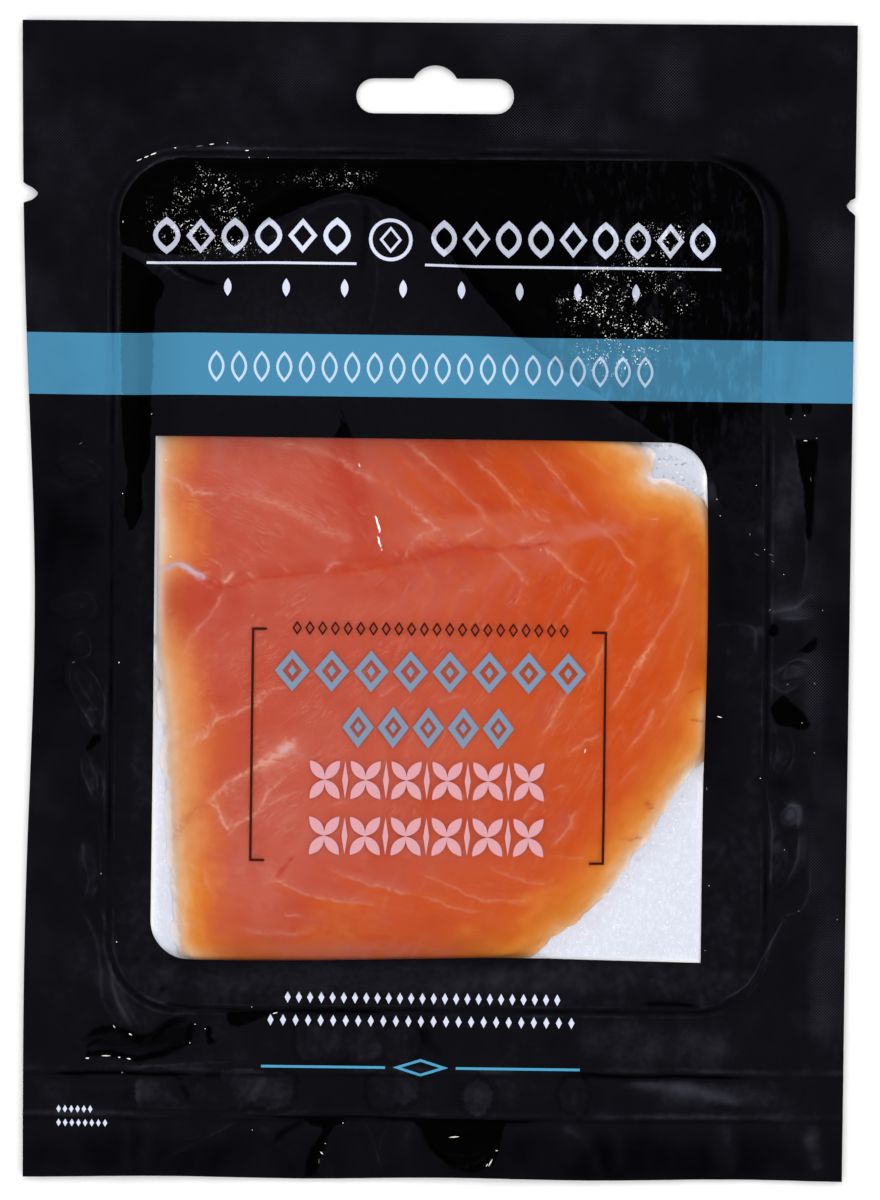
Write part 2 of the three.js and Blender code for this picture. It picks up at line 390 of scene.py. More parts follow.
def addFloor():
    half = floorLook["half"]
    mesh = bpy.data.meshes.new("floor")
    corners = [(-half, -half, 0), (half, -half, 0), (half, half, 0), (-half, half, 0)]
    mesh.from_pydata(corners, [], [(0, 1, 2, 3)])
    floor = bpy.data.objects.new("floor", mesh)
    bpy.context.scene.collection.objects.link(floor)
    finish = Finish("floorPaper")
    tone = finish.blend(finish.noise(floorLook["grain"], 3), *floorLook["tones"])
    shader = finish.node("BsdfPrincipled", {}, {"Base Color": tone, "Roughness": floorLook["roughness"]})
    mesh.materials.append(finish.close(shader))
    print("floor", 2 * half, "m across")


def cadSize(node):
    # lowest and highest corners of a node of the frame
    low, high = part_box(node)
    return np.array(low) / mm, np.array(high) / mm


pouchLow, pouchHigh = cadSize("pouch")
boardLow, boardHigh = cadSize("board")
fishLow, fishHigh = cadSize("salmon")

print("pouch", *np.round(pouchHigh - pouchLow, 1), "mm")

pouch = {
    "web": 0.25,  # thickness of each film
    "leastRoom": 0.02,  # between the webs where they lie together
    "sideTaper": 1.6,  # how much each side draws in towards the foot
    "leftPull": 2.4,  # how far the left side is drawn in at its middle
    "pullReach": 50,
    "hemRipple": 0.35,
    "lift": 1.2,  # how far the margins stand off the table
    "liftRun": 16,
    "liftWave": 0.35,
    "footRun": 3.2,  # from the board's edge to where the margins start to lift
    "boardCorner": 13,  # radius
    "sealLines": [(-93.4, 0.34), (-102.2, 0.38)],  # y, height
    "pitch": 1.27,  # of the film's mesh; half of it in the margins
    "backPitch": 1.3,
    "creaseEnd": 113.5,  # no crease runs on to the pouch's ends
}

fishShape = {
    "rimRun": 10,  # from the edge to where the slices are full
    "rimShare": 0.12,  # how thick the edge is, as a share of the full height
    "filmFoot": 2.4,  # how far outside the fish the film starts to rise
    "filmFullness": 1.1,
    "swell": 0.25,  # slow unevenness of the upper side
    "boardGap": 0.05,
    "filmGap": 0.04,
    "thinnest": 0.12,
    "fatRelief": 0.05,
    "cutRelief": 0.15,
    "pitch": 0.62,  # of the fish's mesh
}

web = pouch["web"]
weld = 2 * web
boardMiddle = (boardLow + boardHigh) / 2
boardHalf = (boardHigh - boardLow) / 2
filmOnBoard = fishLow[2] + web
moundHeight = pouchHigh[2] - filmOnBoard - fishShape["swell"]

hangHole = {"x": -0.9, "y": 99.8, "width": 31.2, "height": 6.9, "bumpRadius": 4.8, "bumpRise": 2.6}
notches = [(-1, 80, 3, 3.6), (1, 78.6, 1.8, 3)]  # side, y, depth, height
window = {
    "centre": (-1.4, -19.7),
    "width": 108.8,
    "height": 103.1,
    "upperRight": 7.6,  # corner radius
    "lowerLeft": 7.5,
    "leftInset": 0.25,  # of the edge as the fish sees it
    "pitch": 0.65,  # of the clear film's mesh
}
printTilt = -0.3  # degrees; the print sits a little askew on the film

fishEdge = curveThrough([
    (-57.2, 43.5), (-56.8, 59), (-52.5, 65.5), (-42.5, 68.3), (-31, 77.4), (-18, 80.9), (-7.3, 76.4),
    (4.2, 65.5), (18.2, 49.6), (32, 38), (38.5, 33), (41.9, 30.5), (43, 28.2), (43.1, 26.2), (42.6, 24.6),
    (45.5, 24.3), (48.5, 23.1), (51.5, 21.5), (54, 18.5), (56.5, 8.5), (56.5, -4), (56.5, -11.5),
    (56, -17.5), (55.3, -23.5), (54.8, -28), (53, -31.5), (49.6, -34.5), (46.1, -40.1), (43.6, -44.5),
    (40.6, -48.5), (37.1, -53.4), (34.5, -57.4), (30.8, -60.9), (28, -63.5), (23.8, -66.2), (20.8, -69),
    (17.6, -70.4), (9, -73), (0, -75.8), (-20.5, -76.2), (-38.5, -75.4), (-46.6, -73.6), (-50.8, -69.8),
    (-51.8, -63.5), (-52.3, -55.5), (-53, -45.5), (-53.3, -38), (-53.9, -32), (-54, -26), (-54.9, -18),
    (-55.6, -10), (-56.2, -2), (-56.4, 5.5), (-56.8, 19.5), (-57.2, 31.5),
], closed=True, perSpan=6)


def shareDown(y):
    return (pouchHigh[1] - y) / (pouchHigh[1] - pouchLow[1])


def notchDepth(side, y):
    depth = np.zeros(np.shape(y))
    for which, middle, deep, tall in notches:
        if which == side:
            t = np.clip(np.abs(y - middle) / (tall / 2), 0, 1)
            depth = depth + deep * np.sqrt(1 - t) * (t < 1)
    return depth


def leftEdge(y):
    pull = pouch["leftPull"] * bell(y, pouch["pullReach"])
    return pouchLow[0] + pouch["sideTaper"] * shareDown(y) + pull + notchDepth(-1, y)


def rightEdge(y):
    return pouchHigh[0] - pouch["sideTaper"] * shareDown(y) - notchDepth(1, y)


def offBoard(x, y):
    corner = pouch["boardCorner"]
    dx = np.maximum(np.abs(x - boardMiddle[0]) - (boardHalf[0] - corner), 0)
    dy = np.maximum(np.abs(y - boardMiddle[1]) - (boardHalf[1] - corner), 0)
    return np.hypot(dx, dy) - corner


def swell(x, y):
    return fishShape["swell"] * np.sin(x / 17 + 1) * np.cos(y / 21)


def lift(x, y):
    rise = smooth(0, pouch["liftRun"], offBoard(x, y) - pouch["footRun"])
    wave = 1 + pouch["liftWave"] * np.sin(x / 13) * np.cos(y / 16 + 0.6)
    return pouch["lift"] * rise * wave


def insideFish(x, y):
    away, _, _ = distanceTo(fishEdge, x, y, closed=True)
    return np.where(insideLoop(fishEdge, x, y), away, -away)


def quarterWave(share):
    return np.sin(math.pi / 2 * np.clip(share, 0, 1))


# folds and creases of the film: height, width, points
creaseLines = [
    (-0.45, 1.5, [(-18.5, 41), (-17, 32), (-13, 20), (-11, 11)]),
    (0.3, 1.2, [(-15.5, 40), (-14, 31), (-11, 22)]),
    (0.5, 1.1, [(-63.5, 70.3), (-60.1, 67.8), (-56.1, 65.4), (-51.1, 62.3), (-46.2, 60.8), (-38, 60)]),
    (0.5, 1.4, [(-73.1, 67.3), (-69.6, 76.6), (-63.5, 84), (-56.3, 87.8), (-51.9, 89.2), (-38.7, 90.5),
                (4, 88.8)]),
    (-0.5, 1.6, [(-70, 60), (-67.5, 66), (-66, 50)]),
    (0.6, 1.3, [(66.5, 80), (71, 66), (71.5, 50), (69, 38)]),
    (-0.5, 1.5, [(68, 84), (73.5, 66), (73, 48)]),
    (0.6, 1.3, [(66, 40), (70, 22), (73.5, 8), (75, -2)]),
    (0.5, 1.0, [(75, -2), (70, -7), (66, -6)]),
    (-0.6, 1.6, [(68, 24), (71, 10), (70, 0)]),
    (0.6, 1.2, [(66, -18), (70, -20), (73, -24), (69, -25), (66.5, -22)]),
    (0.4, 1.0, [(66, -45), (70, -47), (72, -52), (68, -58)]),
    (0.5, 1.0, [(64.5, -74), (68, -70), (70.5, -62)]),
    (0.6, 1.3, [(-76, -83), (-70, -88), (-60, -88.5), (-52, -85), (-42, -84)]),
    (0.45, 1.0, [(-70, -92), (-62, -90.5), (-50, -89), (-38, -86.5)]),
    (0.5, 0.9, [(-66, -70), (-62, -78), (-55, -83)]),
    (-0.5, 1.6, [(-2, -103), (2, -108), (8, -108.5), (13, -104.5)]),
    (0.45, 1.1, [(-4, -103), (-1, -109), (6, -112), (12, -109), (15, -103.5)]),
    (-0.45, 1.6, [(-27, -104.5), (-22, -109), (-19, -112.5)]),
    (0.45, 1.0, [(-31, -104), (-26, -109), (-24, -113)]),
    (0.35, 0.9, [(-15, -104), (-14, -110), (-16, -113)]),
    (0.35, 1.0, [(30, -104), (35, -108), (45, -109)]),
    (0.3, 1.0, [(-60, -104), (-52, -107), (-44, -106)]),
    (0.3, 1.0, [(-78, -96), (-66, -97.5), (-54, -96)]),
]
creases = curved(creaseLines)

# lobes where slack film stands off the seal: height, x, y, half width, half height, degrees
lobes = [
    (0.5, -70.2, 25.5, 4.9, 2.4, -15),
    (0.45, -71.3, -1.5, 5.2, 2.6, -8),
    (0.5, -70.2, -9.3, 2.1, 2.6, 0),
    (0.5, -69.7, -16.6, 2.9, 5.0, 35),
    (0.6, -68.1, -23.6, 1.7, 2.7, 12),
    (0.5, -68.1, -35.5, 2.3, 5.3, 12),
    (0.32, -68.6, -53.3, 2.4, 8.6, 3),
    (0.4, 68.0, -30.1, 2.1, 4.2, 0),
    (0.3, 70.5, -14, 3.6, 1.6, 25),
    (0.45, 70.0, -42, 1.6, 2.5, -8),
    (0.4, 67.5, -52.2, 2.3, 6.0, -8),
    (0.3, 72.5, -49.5, 1.8, 6.5, -15),
]

# places where the film is crumpled finely enough to glint, given a bump and painted glints: strength, then as
# above
glinting = [
    (0.5, 30, 57, 6, 4.5, 12),
    (0.45, 35, 47.5, 11, 3.5, 0),
    (0.55, 38.5, 61, 16, 13, 30),
    (0.5, 47, 73, 8, 4, 0),
    (0.65, -47, 77, 12, 9, 20),
    (0.55, -21, 83.5, 12, 3, 0),
    (0.5, -38, 69.5, 7, 2.5, 20),
]

# black pockets where slack film folds away from the light: dips in the film, with painted shade in them
pockets = [np.array(pocket) for pocket in (
    [(70.9, 32.4), (75, 32.4), (75.3, 29.8), (74.7, 25.2), (74.5, 20), (74.2, 14.3), (73.7, 12),
     (72.9, 14.3), (72.8, 18.9), (72.5, 22.3), (71.9, 25.8), (71.3, 29.2)],
    [(65.9, -5.4), (66.3, -4.3), (67.3, -4.2), (67.9, -5.1), (67.6, -6), (66.9, -6.6), (66, -6.3)],
    [(71.2, -9.8), (73, -8.5), (74.4, -7.3), (75.2, -6.3), (75.4, -7.6), (75, -9), (73.5, -9.6)],
    [(68.7, 39.6), (70.2, 39.6), (70.3, 37.7), (69.5, 36.7), (68.7, 37.5)],
    [(71.8, 39.6), (74.1, 39.6), (73.7, 37.7), (72.1, 37.6)],
    [(66.2, -20.7), (67.6, -19.2), (68.6, -18.2), (69.6, -18.8), (71.1, -20.1), (72.5, -21.2), (74, -23.8),
     (73.4, -24.7), (71.4, -24.8), (70.2, -24.4), (68.8, -24.3), (67.6, -23.8), (66.8, -22.4)],
    [(-68.9, -29.5), (-68.2, -27.8), (-66.8, -26.9), (-65.8, -27.4), (-66.6, -28.6), (-67.8, -29.7),
     (-68.7, -30.2)],
    [(-40.9, -81.6), (-38.1, -81.5), (-34.3, -81.2), (-30.5, -81.2), (-31.8, -81.7), (-34.3, -82.7),
     (-36.5, -83.7), (-38.4, -84.5), (-40, -84.2), (-40.8, -82.9)],
    [(-48, -83.2), (-47.5, -83.6), (-47.6, -85.2), (-47.8, -86.7), (-48.5, -88), (-49.1, -87.8),
     (-48.8, -86.1), (-48.5, -84.4)],
    [(-44.6, -84.4), (-44, -84.8), (-43.9, -86.2), (-43.3, -87.1), (-42.5, -87.1), (-43.1, -87.8),
     (-44.5, -88), (-45, -87), (-44.9, -85.5)],
    [(-68.6, -90.5), (-68.3, -89.1), (-67.5, -89.6), (-65.9, -89.2), (-64.3, -89.1), (-62.4, -89.4),
     (-60.2, -90.1), (-58.3, -90.6), (-60.2, -91), (-62.4, -90.6), (-64.6, -90.3), (-66.8, -90.4)],
    [(-25.6, -102.5), (-17.5, -102.4), (-17.9, -103.5), (-19.4, -104), (-20.5, -105.6), (-21, -107.3),
     (-21.7, -109.2), (-22.4, -111.6), (-23, -113.8), (-25.1, -113.8), (-24.8, -111.1), (-24.1, -108.7),
     (-22.7, -106.8), (-21.8, -105.2), (-21.7, -104.1), (-24.2, -103.8)],
    [(-4, -102.7), (-2.3, -104.3), (-1.4, -106.2), (-0.4, -108.1), (1, -109.8), (2.9, -111.2),
     (5.3, -112.3), (7.7, -112.7), (10.1, -112.3), (12, -111.1), (12.9, -109), (13.4, -106.6),
     (13.9, -104.2), (14.8, -102.5)],
    [(-54.4, -77.3), (-53.8, -76.7), (-53.2, -77.1), (-53.6, -77.9)],
    [(-18.9, 38.4), (-18.3, 36.2), (-17.5, 34), (-16.6, 31.6), (-20.4, 31.6), (-19.2, 34.4)],
)]

# creases painted dark as shade, each also a slight groove: strength, width, points
shadedCreasePoints = [
    (1.2, 0.7, [(-69.1, -87.2), (-66.9, -85.8), (-64.3, -85), (-62.4, -85.3), (-60.2, -86.2),
                (-58.3, -87.1), (-56.4, -86.8), (-54.5, -85.7), (-53, -84.4), (-51.1, -83.4),
                (-48.8, -83)]),
    (1.2, 0.7, [(-60.2, -90.6), (-58.3, -91), (-56.1, -90.4), (-53.5, -89.8), (-51, -88.7),
                (-48.8, -87.8)]),
    (0.8, 0.35, [(-68.4, -89.4), (-68.1, -88.3), (-67, -87.5), (-65.6, -87)]),
    (0.6, 0.3, [(-53, -80), (-50.5, -80.3), (-47.9, -80.6), (-45.4, -80.7)]),
    (0.9, 0.3, [(-31.5, -81.2), (-20, -81.2), (-10, -81.3)]),
    (0.7, 0.8, [(-25.1, -102.8), (-28, -104.3), (-30.3, -105.9), (-31.5, -107.5)]),
    (0.9, 0.4, [(-38.9, -101.7), (-31.8, -102.1), (-25.6, -102.2), (-16.6, -102.1), (-12.8, -102),
                (-4.2, -102.4), (14.8, -102.8), (25.2, -102.2)]),
    (1.0, 0.45, [(-76, -93.9), (-64.3, -93.6), (-54.6, -93.9), (-48, -93.8)]),
    (1.0, 0.45, [(26, -92.9), (38.1, -93.8), (47.8, -93.6), (62, -93.9)]),
    (0.8, 0.6, [(41, -79.3), (47.7, -79.4), (52.5, -79.9)]),
    (0.8, 0.6, [(-52.2, 65.7), (-49.8, 64.3), (-47.8, 63.3), (-45.7, 62.5), (-42.9, 62)]),
    (0.7, 0.3, [(-62.6, 72.1), (-60.8, 70.4), (-58.4, 68.7), (-55.7, 67.2), (-53.3, 65.7)]),
    (1.1, 1.0, [(54.2, 87.9), (60, 86.3), (64.4, 83), (67.3, 79.1), (68.3, 72.4), (68.1, 63.7),
                (67.5, 54)]),
    (0.5, 0.8, [(-15, 79), (-14.2, 76), (-14.5, 70), (-15, 64)]),
]
shadedCreaseLines = curved(shadedCreasePoints, 0.1)

# broad places painted darker as shade and paler as reflection: change of tone, then as above
shadings = [
    (-0.3, -72, 12, 6, 8, 0),
    (-0.2, -72, 5, 7, 45, 0),
    (-0.25, -62, -5, 2.5, 45, 0),
    (-0.35, -3, 97, 15, 8, 0),
    (-0.25, 64, 104, 13, 5, 0),
    (-0.4, 68.9, -36, 2, 2, 0),
    (-0.4, 59.5, 8, 4.5, 15, 0),
    (-0.3, 0, -110, 75, 6, 0),
    (-0.3, -60, -110, 20, 5, 0),
    (-0.3, 45, -110, 30, 5, 0),
    (0.35, 55.5, 22, 3.6, 2.4, 20),
    (0.35, 60.5, 14.5, 4.0, 1.6, -5),
    (0.3, 62, -5.5, 3, 1.4, 0),
    (-0.6, -61, -87.5, 6.5, 2.6, 0),
    (-0.5, -51, -86, 5, 2.8, 20),
    (0.3, -5, -74.5, 50, 3.2, 0),
    (0.2, -30, 50, 22, 10, 0),
    (0.35, 40, -86.8, 9, 5, 0),
    (0.3, 54, -88, 6, 5, 30),
    (0.3, 57.5, -107, 2.8, 5, 0),
    (0.25, 27.5, -107.5, 4.5, 5, 0),
    (0.35, 75.5, -108.5, 2.2, 5, 0),
    (0.3, 54, -97, 13, 2.2, -4),
    (0.2, 76.7, -78, 2.5, 10, 0),
    (0.3, 71, -2, 3.5, 1.6, 0),
    (0.3, 69, -1.5, 4, 3, 0),
    (0.2, 70.5, -14, 3.5, 2.2, 20),
    (0.3, 69.6, 21, 2.6, 16, -6),
    (-0.2, -60, 104, 22, 9, 0),
    (-0.3, 56, -30, 5, 14, 0),
    (-0.4, 70.5, 54, 2.8, 20, 0),
    (0.5, 70.8, -41.8, 2, 2.4, 0),
]

# where the film lies tight on the bare board and is left black, without the painted reflection it has
# elsewhere
tightZones = [np.array(zone) for zone in (
    [(-63.5, 70.3), (-57.3, 68.4), (-48.6, 68.1), (-40.9, 70.5), (-37.2, 72.1), (-33.6, 74.7),
     (-27.5, 77.3), (-18.8, 80.5), (-13.5, 79.6), (-8.1, 77.4), (-2.9, 73.9), (2.6, 67.8), (9, 59.6),
     (15.2, 52.9), (24.2, 46.2), (34.1, 39.4), (47, 30.6), (54.5, 24.5), (56, 19), (60, 16.2), (63, 15.8),
     (64.5, 17), (66, 20), (66, 95), (-66, 95), (-66, 70.3)],
    [(-63, 69.2), (-58.7, 66.2), (-56.1, 64.5), (-53.7, 61.7), (-54.7, 59.5), (-56, 57.7), (-56, 52.6),
     (-56.5, 39.3), (-56.6, 28), (-58.4, 24), (-58.2, 17), (-60.5, 13), (-61.8, 17), (-61.2, 25),
     (-62.2, 32.2), (-63, 52.5)],
)]

# pale edges of folds in the margins, slight ridges with painted highlights along them: strength, width,
# points
sheenPoints = [
    (0.5, 1.0, [(-77, 26), (-72, 28.5), (-66.5, 25.5), (-72, 22), (-77, 23.5)]),
    (0.6, 0.8, [(-73.5, 0.8), (-69, 1), (-67.3, -1), (-68, -3.4), (-71, -5)]),
    (0.8, 0.6, [(-71.2, -7.5), (-70, -6.6), (-68.5, -8), (-68.5, -11), (-70.5, -11.8)]),
    (0.8, 0.6, [(-72, -12.8), (-72.4, -16), (-71, -20), (-68.5, -24), (-67.2, -26.5)]),
    (0.7, 0.6, [(-69.5, -13), (-67, -16), (-65.5, -20), (-65.6, -24), (-66.2, -27)]),
    (0.5, 0.4, [(-71.3, -15), (-69.5, -18.5), (-67.5, -21.5)]),
    (0.6, 0.5, [(-68.6, -22.2), (-66.6, -22), (-66, -25), (-67.5, -26.6), (-68.4, -24.5)]),
    (0.7, 0.6, [(-70.2, -30.8), (-69.9, -33.6), (-68.5, -37.4), (-67.3, -39.7)]),
    (0.6, 0.5, [(-68.6, -31), (-67, -35), (-66.8, -38)]),
    (0.6, 0.5, [(-66.7, -32.5), (-65.5, -37.3), (-66.2, -40.6)]),
    (0.5, 0.6, [(-69.6, -46.7), (-69.4, -51.4), (-68.4, -56.1), (-69.8, -60.3)]),
    (0.5, 0.5, [(-66.4, -44), (-66, -50), (-66.5, -56), (-68, -60)]),
    (0.55, 1.3, [(-70.2, -61.2), (-68.3, -64), (-66.7, -67.8), (-65.9, -72.9), (-65.4, -79.3),
                 (-62.5, -84)]),
    (0.55, 1.3, [(-67.9, -58.9), (-65.5, -62.6), (-64.3, -66.8), (-63.8, -72.9), (-62.6, -79.3),
                 (-59.5, -84.5)]),
    (0.5, 1.2, [(-63.8, -75.5), (-63.1, -78), (-62.2, -80.5), (-60.9, -83), (-59.3, -85.2),
                (-57.4, -86.2)]),
    (0.4, 1.2, [(-62.2, -76.1), (-61.2, -78.6), (-59.9, -81.5), (-58.3, -84.3), (-57.1, -85.5),
                (-55, -85)]),
    (0.7, 1.0, [(-58.7, -78), (-56.2, -79.2), (-53.3, -80.1), (-49.8, -81.1), (-46, -81.2),
                (-42.8, -81.3)]),
    (0.6, 0.8, [(-53.6, -83.6), (-51.7, -82.5), (-49.2, -81.9), (-46.6, -82)]),
    (0.6, 1.0, [(-60, -92.4), (-51.6, -92), (-46.9, -91.7), (-40, -91.5)]),
    (0.7, 0.8, [(-52.4, -110.3), (-46.8, -107.4), (-42, -105), (-38.1, -102.9)]),
    (0.7, 0.7, [(-13.5, -102.5), (-11.8, -106.9), (-10.8, -110), (-11.3, -113)]),
    (0.7, 0.7, [(-8.3, -102.8), (-10.1, -106.7), (-10.4, -109.8), (-9.8, -113)]),
    (0.6, 0.8, [(65.8, -26.7), (65.5, -35.4), (66.9, -47.4), (66, -55.5), (65.7, -57.8)]),
    (0.5, 0.5, [(66.8, -22.5), (67.2, -25), (67.6, -30), (66.6, -34)]),
    (0.5, 0.5, [(69.8, -24.8), (70.6, -27), (70.8, -31), (69, -34)]),
    (0.7, 0.7, [(71.8, -43.9), (72, -49.7), (70.1, -54.3), (68.4, -56.6), (65.9, -58.1)]),
    (0.6, 0.7, [(74.1, -50.8), (74.2, -56.6), (72.5, -60.6), (69, -61.8)]),
    (1.0, 0.6, [(70.6, -60.5), (69.6, -61.8), (67.9, -64.7), (65.1, -69.9), (62.2, -75.1), (57.1, -78.5)]),
    (0.6, 0.6, [(67.3, -65.8), (65.4, -70.5), (63.1, -75.1), (61.1, -77.4)]),
    (1.1, 1.3, [(69.6, -39.6), (72.1, -40.5), (71.8, -44.2)]),
    (0.8, 0.9, [(-63.6, 73.5), (-62.6, 71.4), (-60.1, 69.7), (-56.7, 67.4), (-53.3, 65.3), (-50.5, 63.6),
                (-46.4, 61.8)]),
    (0.6, 0.9, [(-63.1, 76.2), (-62.3, 79), (-60.2, 82.1), (-57.5, 85.2), (-54.1, 87.6), (-51.4, 88.5),
                (-46.6, 89), (-36.3, 89.1), (-26, 89), (-15.7, 88.9)]),
    (0.7, 0.8, [(68.6, 36.1), (70.7, 32.1), (71.8, 26.3), (72.6, 21.7), (72.9, 15.4), (73.1, 8.5),
                (72.6, 3.9), (71.7, 1.3)]),
    (0.8, 0.9, [(65.7, -1.9), (68.9, -1.3), (71.2, -0.7), (74, 1.6), (74.9, 0.5)]),
    (0.5, 0.7, [(67.7, -3), (71.2, -3.1), (74.6, -2.7)]),
    (0.8, 0.8, [(66.7, -14), (69, -12.5), (71.2, -11.1), (74.7, -11.6)]),
    (0.6, 0.7, [(66, -16), (69, -17.5), (72, -16)]),
    (0.4, 1.6, [(-36, 69), (-24, 77.5), (-14, 78), (-9, 72)]),
    (0.4, 1.0, [(-13.4, 78), (-12, 64), (-13.5, 54)]),
    (0.6, 0.9, [(54.5, -4.5), (58, -4.2), (61.8, -4.5), (63.2, -6), (63, -10)]),
]
sheenLines = curved(sheenPoints, 0.1)

# panels of slack film across the bottom margin, painted a little paler inside than round them
panelLoops = [np.array(loop) for loop in (
    [(-57.6, -100), (-58, -97.1), (-57.2, -94.8), (-54.3, -94.3), (-52, -95.4), (-50.3, -97.7),
     (-48.6, -100.1)],
    [(-46.6, -100), (-47.1, -97.7), (-45.9, -96.1), (-43.4, -95.8), (-42.1, -97.2), (-40.5, -100)],
    [(-41.1, -93.7), (-41, -96.6), (-40, -98.9), (-38, -99.8), (-36.5, -98.6), (-35.1, -95.9),
     (-34.2, -93.9)],
    [(-34.4, -99.3), (-34.1, -97), (-32.8, -94.9), (-30.1, -94.2), (-28.3, -95), (-28.4, -97.3),
     (-29.2, -99.2), (-31.5, -99.9)],
    [(-26.1, -83), (-26.2, -88.1), (-25.3, -90), (-22.8, -90.1), (-21.8, -88.1), (-21.5, -83)],
    [(-20.4, -83), (-21.3, -88.1), (-20.6, -89.9), (-18.4, -90.1), (-17.3, -88.3), (-16.5, -83)],
    [(-15.7, -83), (-16.1, -87.6), (-15.6, -90.2), (-13.6, -90.5), (-11.7, -89.7), (-10.2, -87.5),
     (-11.1, -83)],
    [(-8.4, -85.5), (-9.1, -87.9), (-7.9, -90), (-5.4, -90.4), (-3.9, -88.7), (-3.6, -86.3), (-5.3, -84.2),
     (-7.1, -84)],
    [(-11.7, -95.1), (-11.7, -98.5), (-10.4, -99.7), (-8.4, -99.4), (-7.8, -97.2), (-8.1, -95.1),
     (-9.8, -94.2)],
    [(-6.9, -94.5), (-7, -97.4), (-5.8, -98.8), (-4.1, -97.6), (-3.6, -95.1), (-5.2, -94.2)],
    [(6.8, -96.9), (7.2, -99.7), (9, -100.9), (10.7, -99.5), (11.1, -96.9), (8.9, -95.4)],
    [(25.9, -96.8), (26.8, -99.6), (28.9, -100.3), (29.7, -97.6), (29.1, -95.2), (27.1, -95.2)],
)]

# soft painted highlights, and painted shade beside them where the strength is negative
panelPoints = [
    (0.25, 1.2, [(-59, -94.3), (-58.5, -97.1), (-58.2, -100)]),
    (0.3, 0.9, [(-33.2, -94.1), (-34.6, -96.7), (-36.5, -99.9)]),
    (0.3, 0.9, [(-11, -87.1), (-11.6, -89.7), (-15.3, -90.5)]),
    (0.45, 1.0, [(35.4, -96.2), (41, -95.2), (47.8, -95.7), (55.6, -97.4), (62.3, -99.5)]),
    (-0.4, 1.1, [(-1.9, -84.5), (-0.6, -87.5), (1.7, -90.1)]),
    (-0.4, 1.3, [(4.2, -94.5), (4.3, -97.1), (4.2, -99.9)]),
    (-0.35, 1.2, [(-60.2, -94), (-60.3, -96.7), (-60.5, -99.8)]),
    (-0.3, 1.3, [(-51.8, -94.2), (-49.5, -97.1), (-47.6, -99.6)]),
    (-0.35, 1.2, [(31.6, -95.5), (32.8, -97.7), (32.1, -100)]),
    (0.35, 1.0, [(-61.2, -102.6), (-60.4, -106.3), (-60.5, -110.2), (-59.7, -113.1)]),
    (0.35, 1.4, [(-57, -102.6), (-56.3, -106.3), (-56.8, -110.2), (-56.4, -113.3)]),
    (0.35, 0.9, [(-35.2, -104), (-32.3, -105.3), (-29.6, -108)]),
    (0.3, 1.3, [(-4.3, -103), (-5, -105.9), (-5.6, -109.8)]),
    (0.3, 1.3, [(24.8, -104.2), (28.5, -105.3), (31.4, -107.6), (32.6, -110.5), (33, -113.4)]),
    (0.3, 1.2, [(35.5, -103.7), (36.8, -106.6), (36.7, -110.5), (35.9, -113)]),
    (0.3, 1.3, [(58, -104.7), (59, -107.4), (59.7, -110.3), (59, -112.4)]),
    (0.3, 1.3, [(73.8, -104.6), (75.2, -108.3), (76.9, -112.1)]),
]
panelLines = curved(panelPoints, 0.2)


def sideOf(loops, x, y, reach=3.0):
    # signed distance into the nearest of the loops, at most `reach` either way
    deepest = np.full(x.shape, -reach)
    for loop in loops:
        near = within(x, y, loop.min(0) - reach, loop.max(0) + reach)
        away, _, _ = distanceTo(loop, x[near], y[near], closed=True)
        signed = np.where(insideLoop(loop, x[near], y[near]), away, -away)
        deepest[near] = np.maximum(deepest[near], signed)
    return np.minimum(deepest, reach)


def slack(x, y):
    # rises over every lobe; neighbours run together
    x, y = x + 0.9 * lumps(x / 3.6, y / 4.4, 71), y + 0.9 * lumps(x / 3.6, y / 4.4, 72)
    total = np.zeros(x.shape)
    for height, cx, cy, rx, ry, degrees in lobes:
        reach = 2.6 * max(rx, ry)
        near = (np.abs(x - cx) < reach) & (np.abs(y - cy) < reach)
        u, v = ovalParts(x[near], y[near], cx, cy, rx, ry, degrees)
        total[near] += 2 * height * np.exp(-1.1 * (u * u + v * v))
    return total * smooth(1.2, 3, offBoard(x, y))


def wrinkles(x, y):
    off = offBoard(x, y)
    total = strokes(creases, x, y)
    total -= 0.35 * smooth(-0.3, 0.9, sideOf(pockets, x, y)) * smooth(1, 2, off)
    total += 0.12 * strokes(sheenLines, x, y) - 0.2 * strokes(shadedCreaseLines, x, y)
    total += 0.42 * np.minimum(slack(x, y), 1.3)
    # finer ripples down the margins, and slack film below the seal
    ridged = 1 - np.abs(lumps(x / 5 + 0.8 * lumps(x / 9, y / 9, 3), y / 8, 5)) * 2.2
    worms = np.maximum(ridged, 0) ** 2
    left = smooth(-74, -70, x) * smooth(2.5, 4, off) * smooth(-8, -20, y) * smooth(-74, -62, y) * (x < 0)
    right = smooth(76, 72, x) * smooth(2.5, 4, off) * smooth(-26, -32, y) * smooth(-80, -60, y) * (x > 0)
    total += 0.3 * worms * (left + right)
    cells = lumps(x / 9 + 0.3 * y, y / 14, 8)
    total += 0.22 * cells * smooth(-94.5, -97, y) * smooth(-101, -99, y)
    skirt = np.maximum(1 - 2.4 * np.abs(lumps(x / 9, y / 8, 9)), 0) ** 1.5
    total += 0.3 * skirt * smooth(-102.5, -105, y)
    # slow unevenness everywhere off the fish
    total += 0.16 * lumps(x / 17, y / 21, 10) * smooth(2, 8, off)
    # seal lines across the bottom margin
    for level, height in pouch["sealLines"]:
        wander = level + 0.35 * lumps(x / 14, level, 12)
        total += height * bell(y - wander, 0.5)
    return total


def boardRim(off):
    # the film drops off the board's edge in two steps, with a lip on top
    drop = 0.55 * smooth(-0.5, 0.9, off) + 0.45 * smooth(1.2, 2.6, off)
    lip = 0.14 * bell(off + 0.9, 0.6) + 0.1 * bell(off - 1.1, 0.4)
    return (filmOnBoard - weld) * (1 - drop) + lip


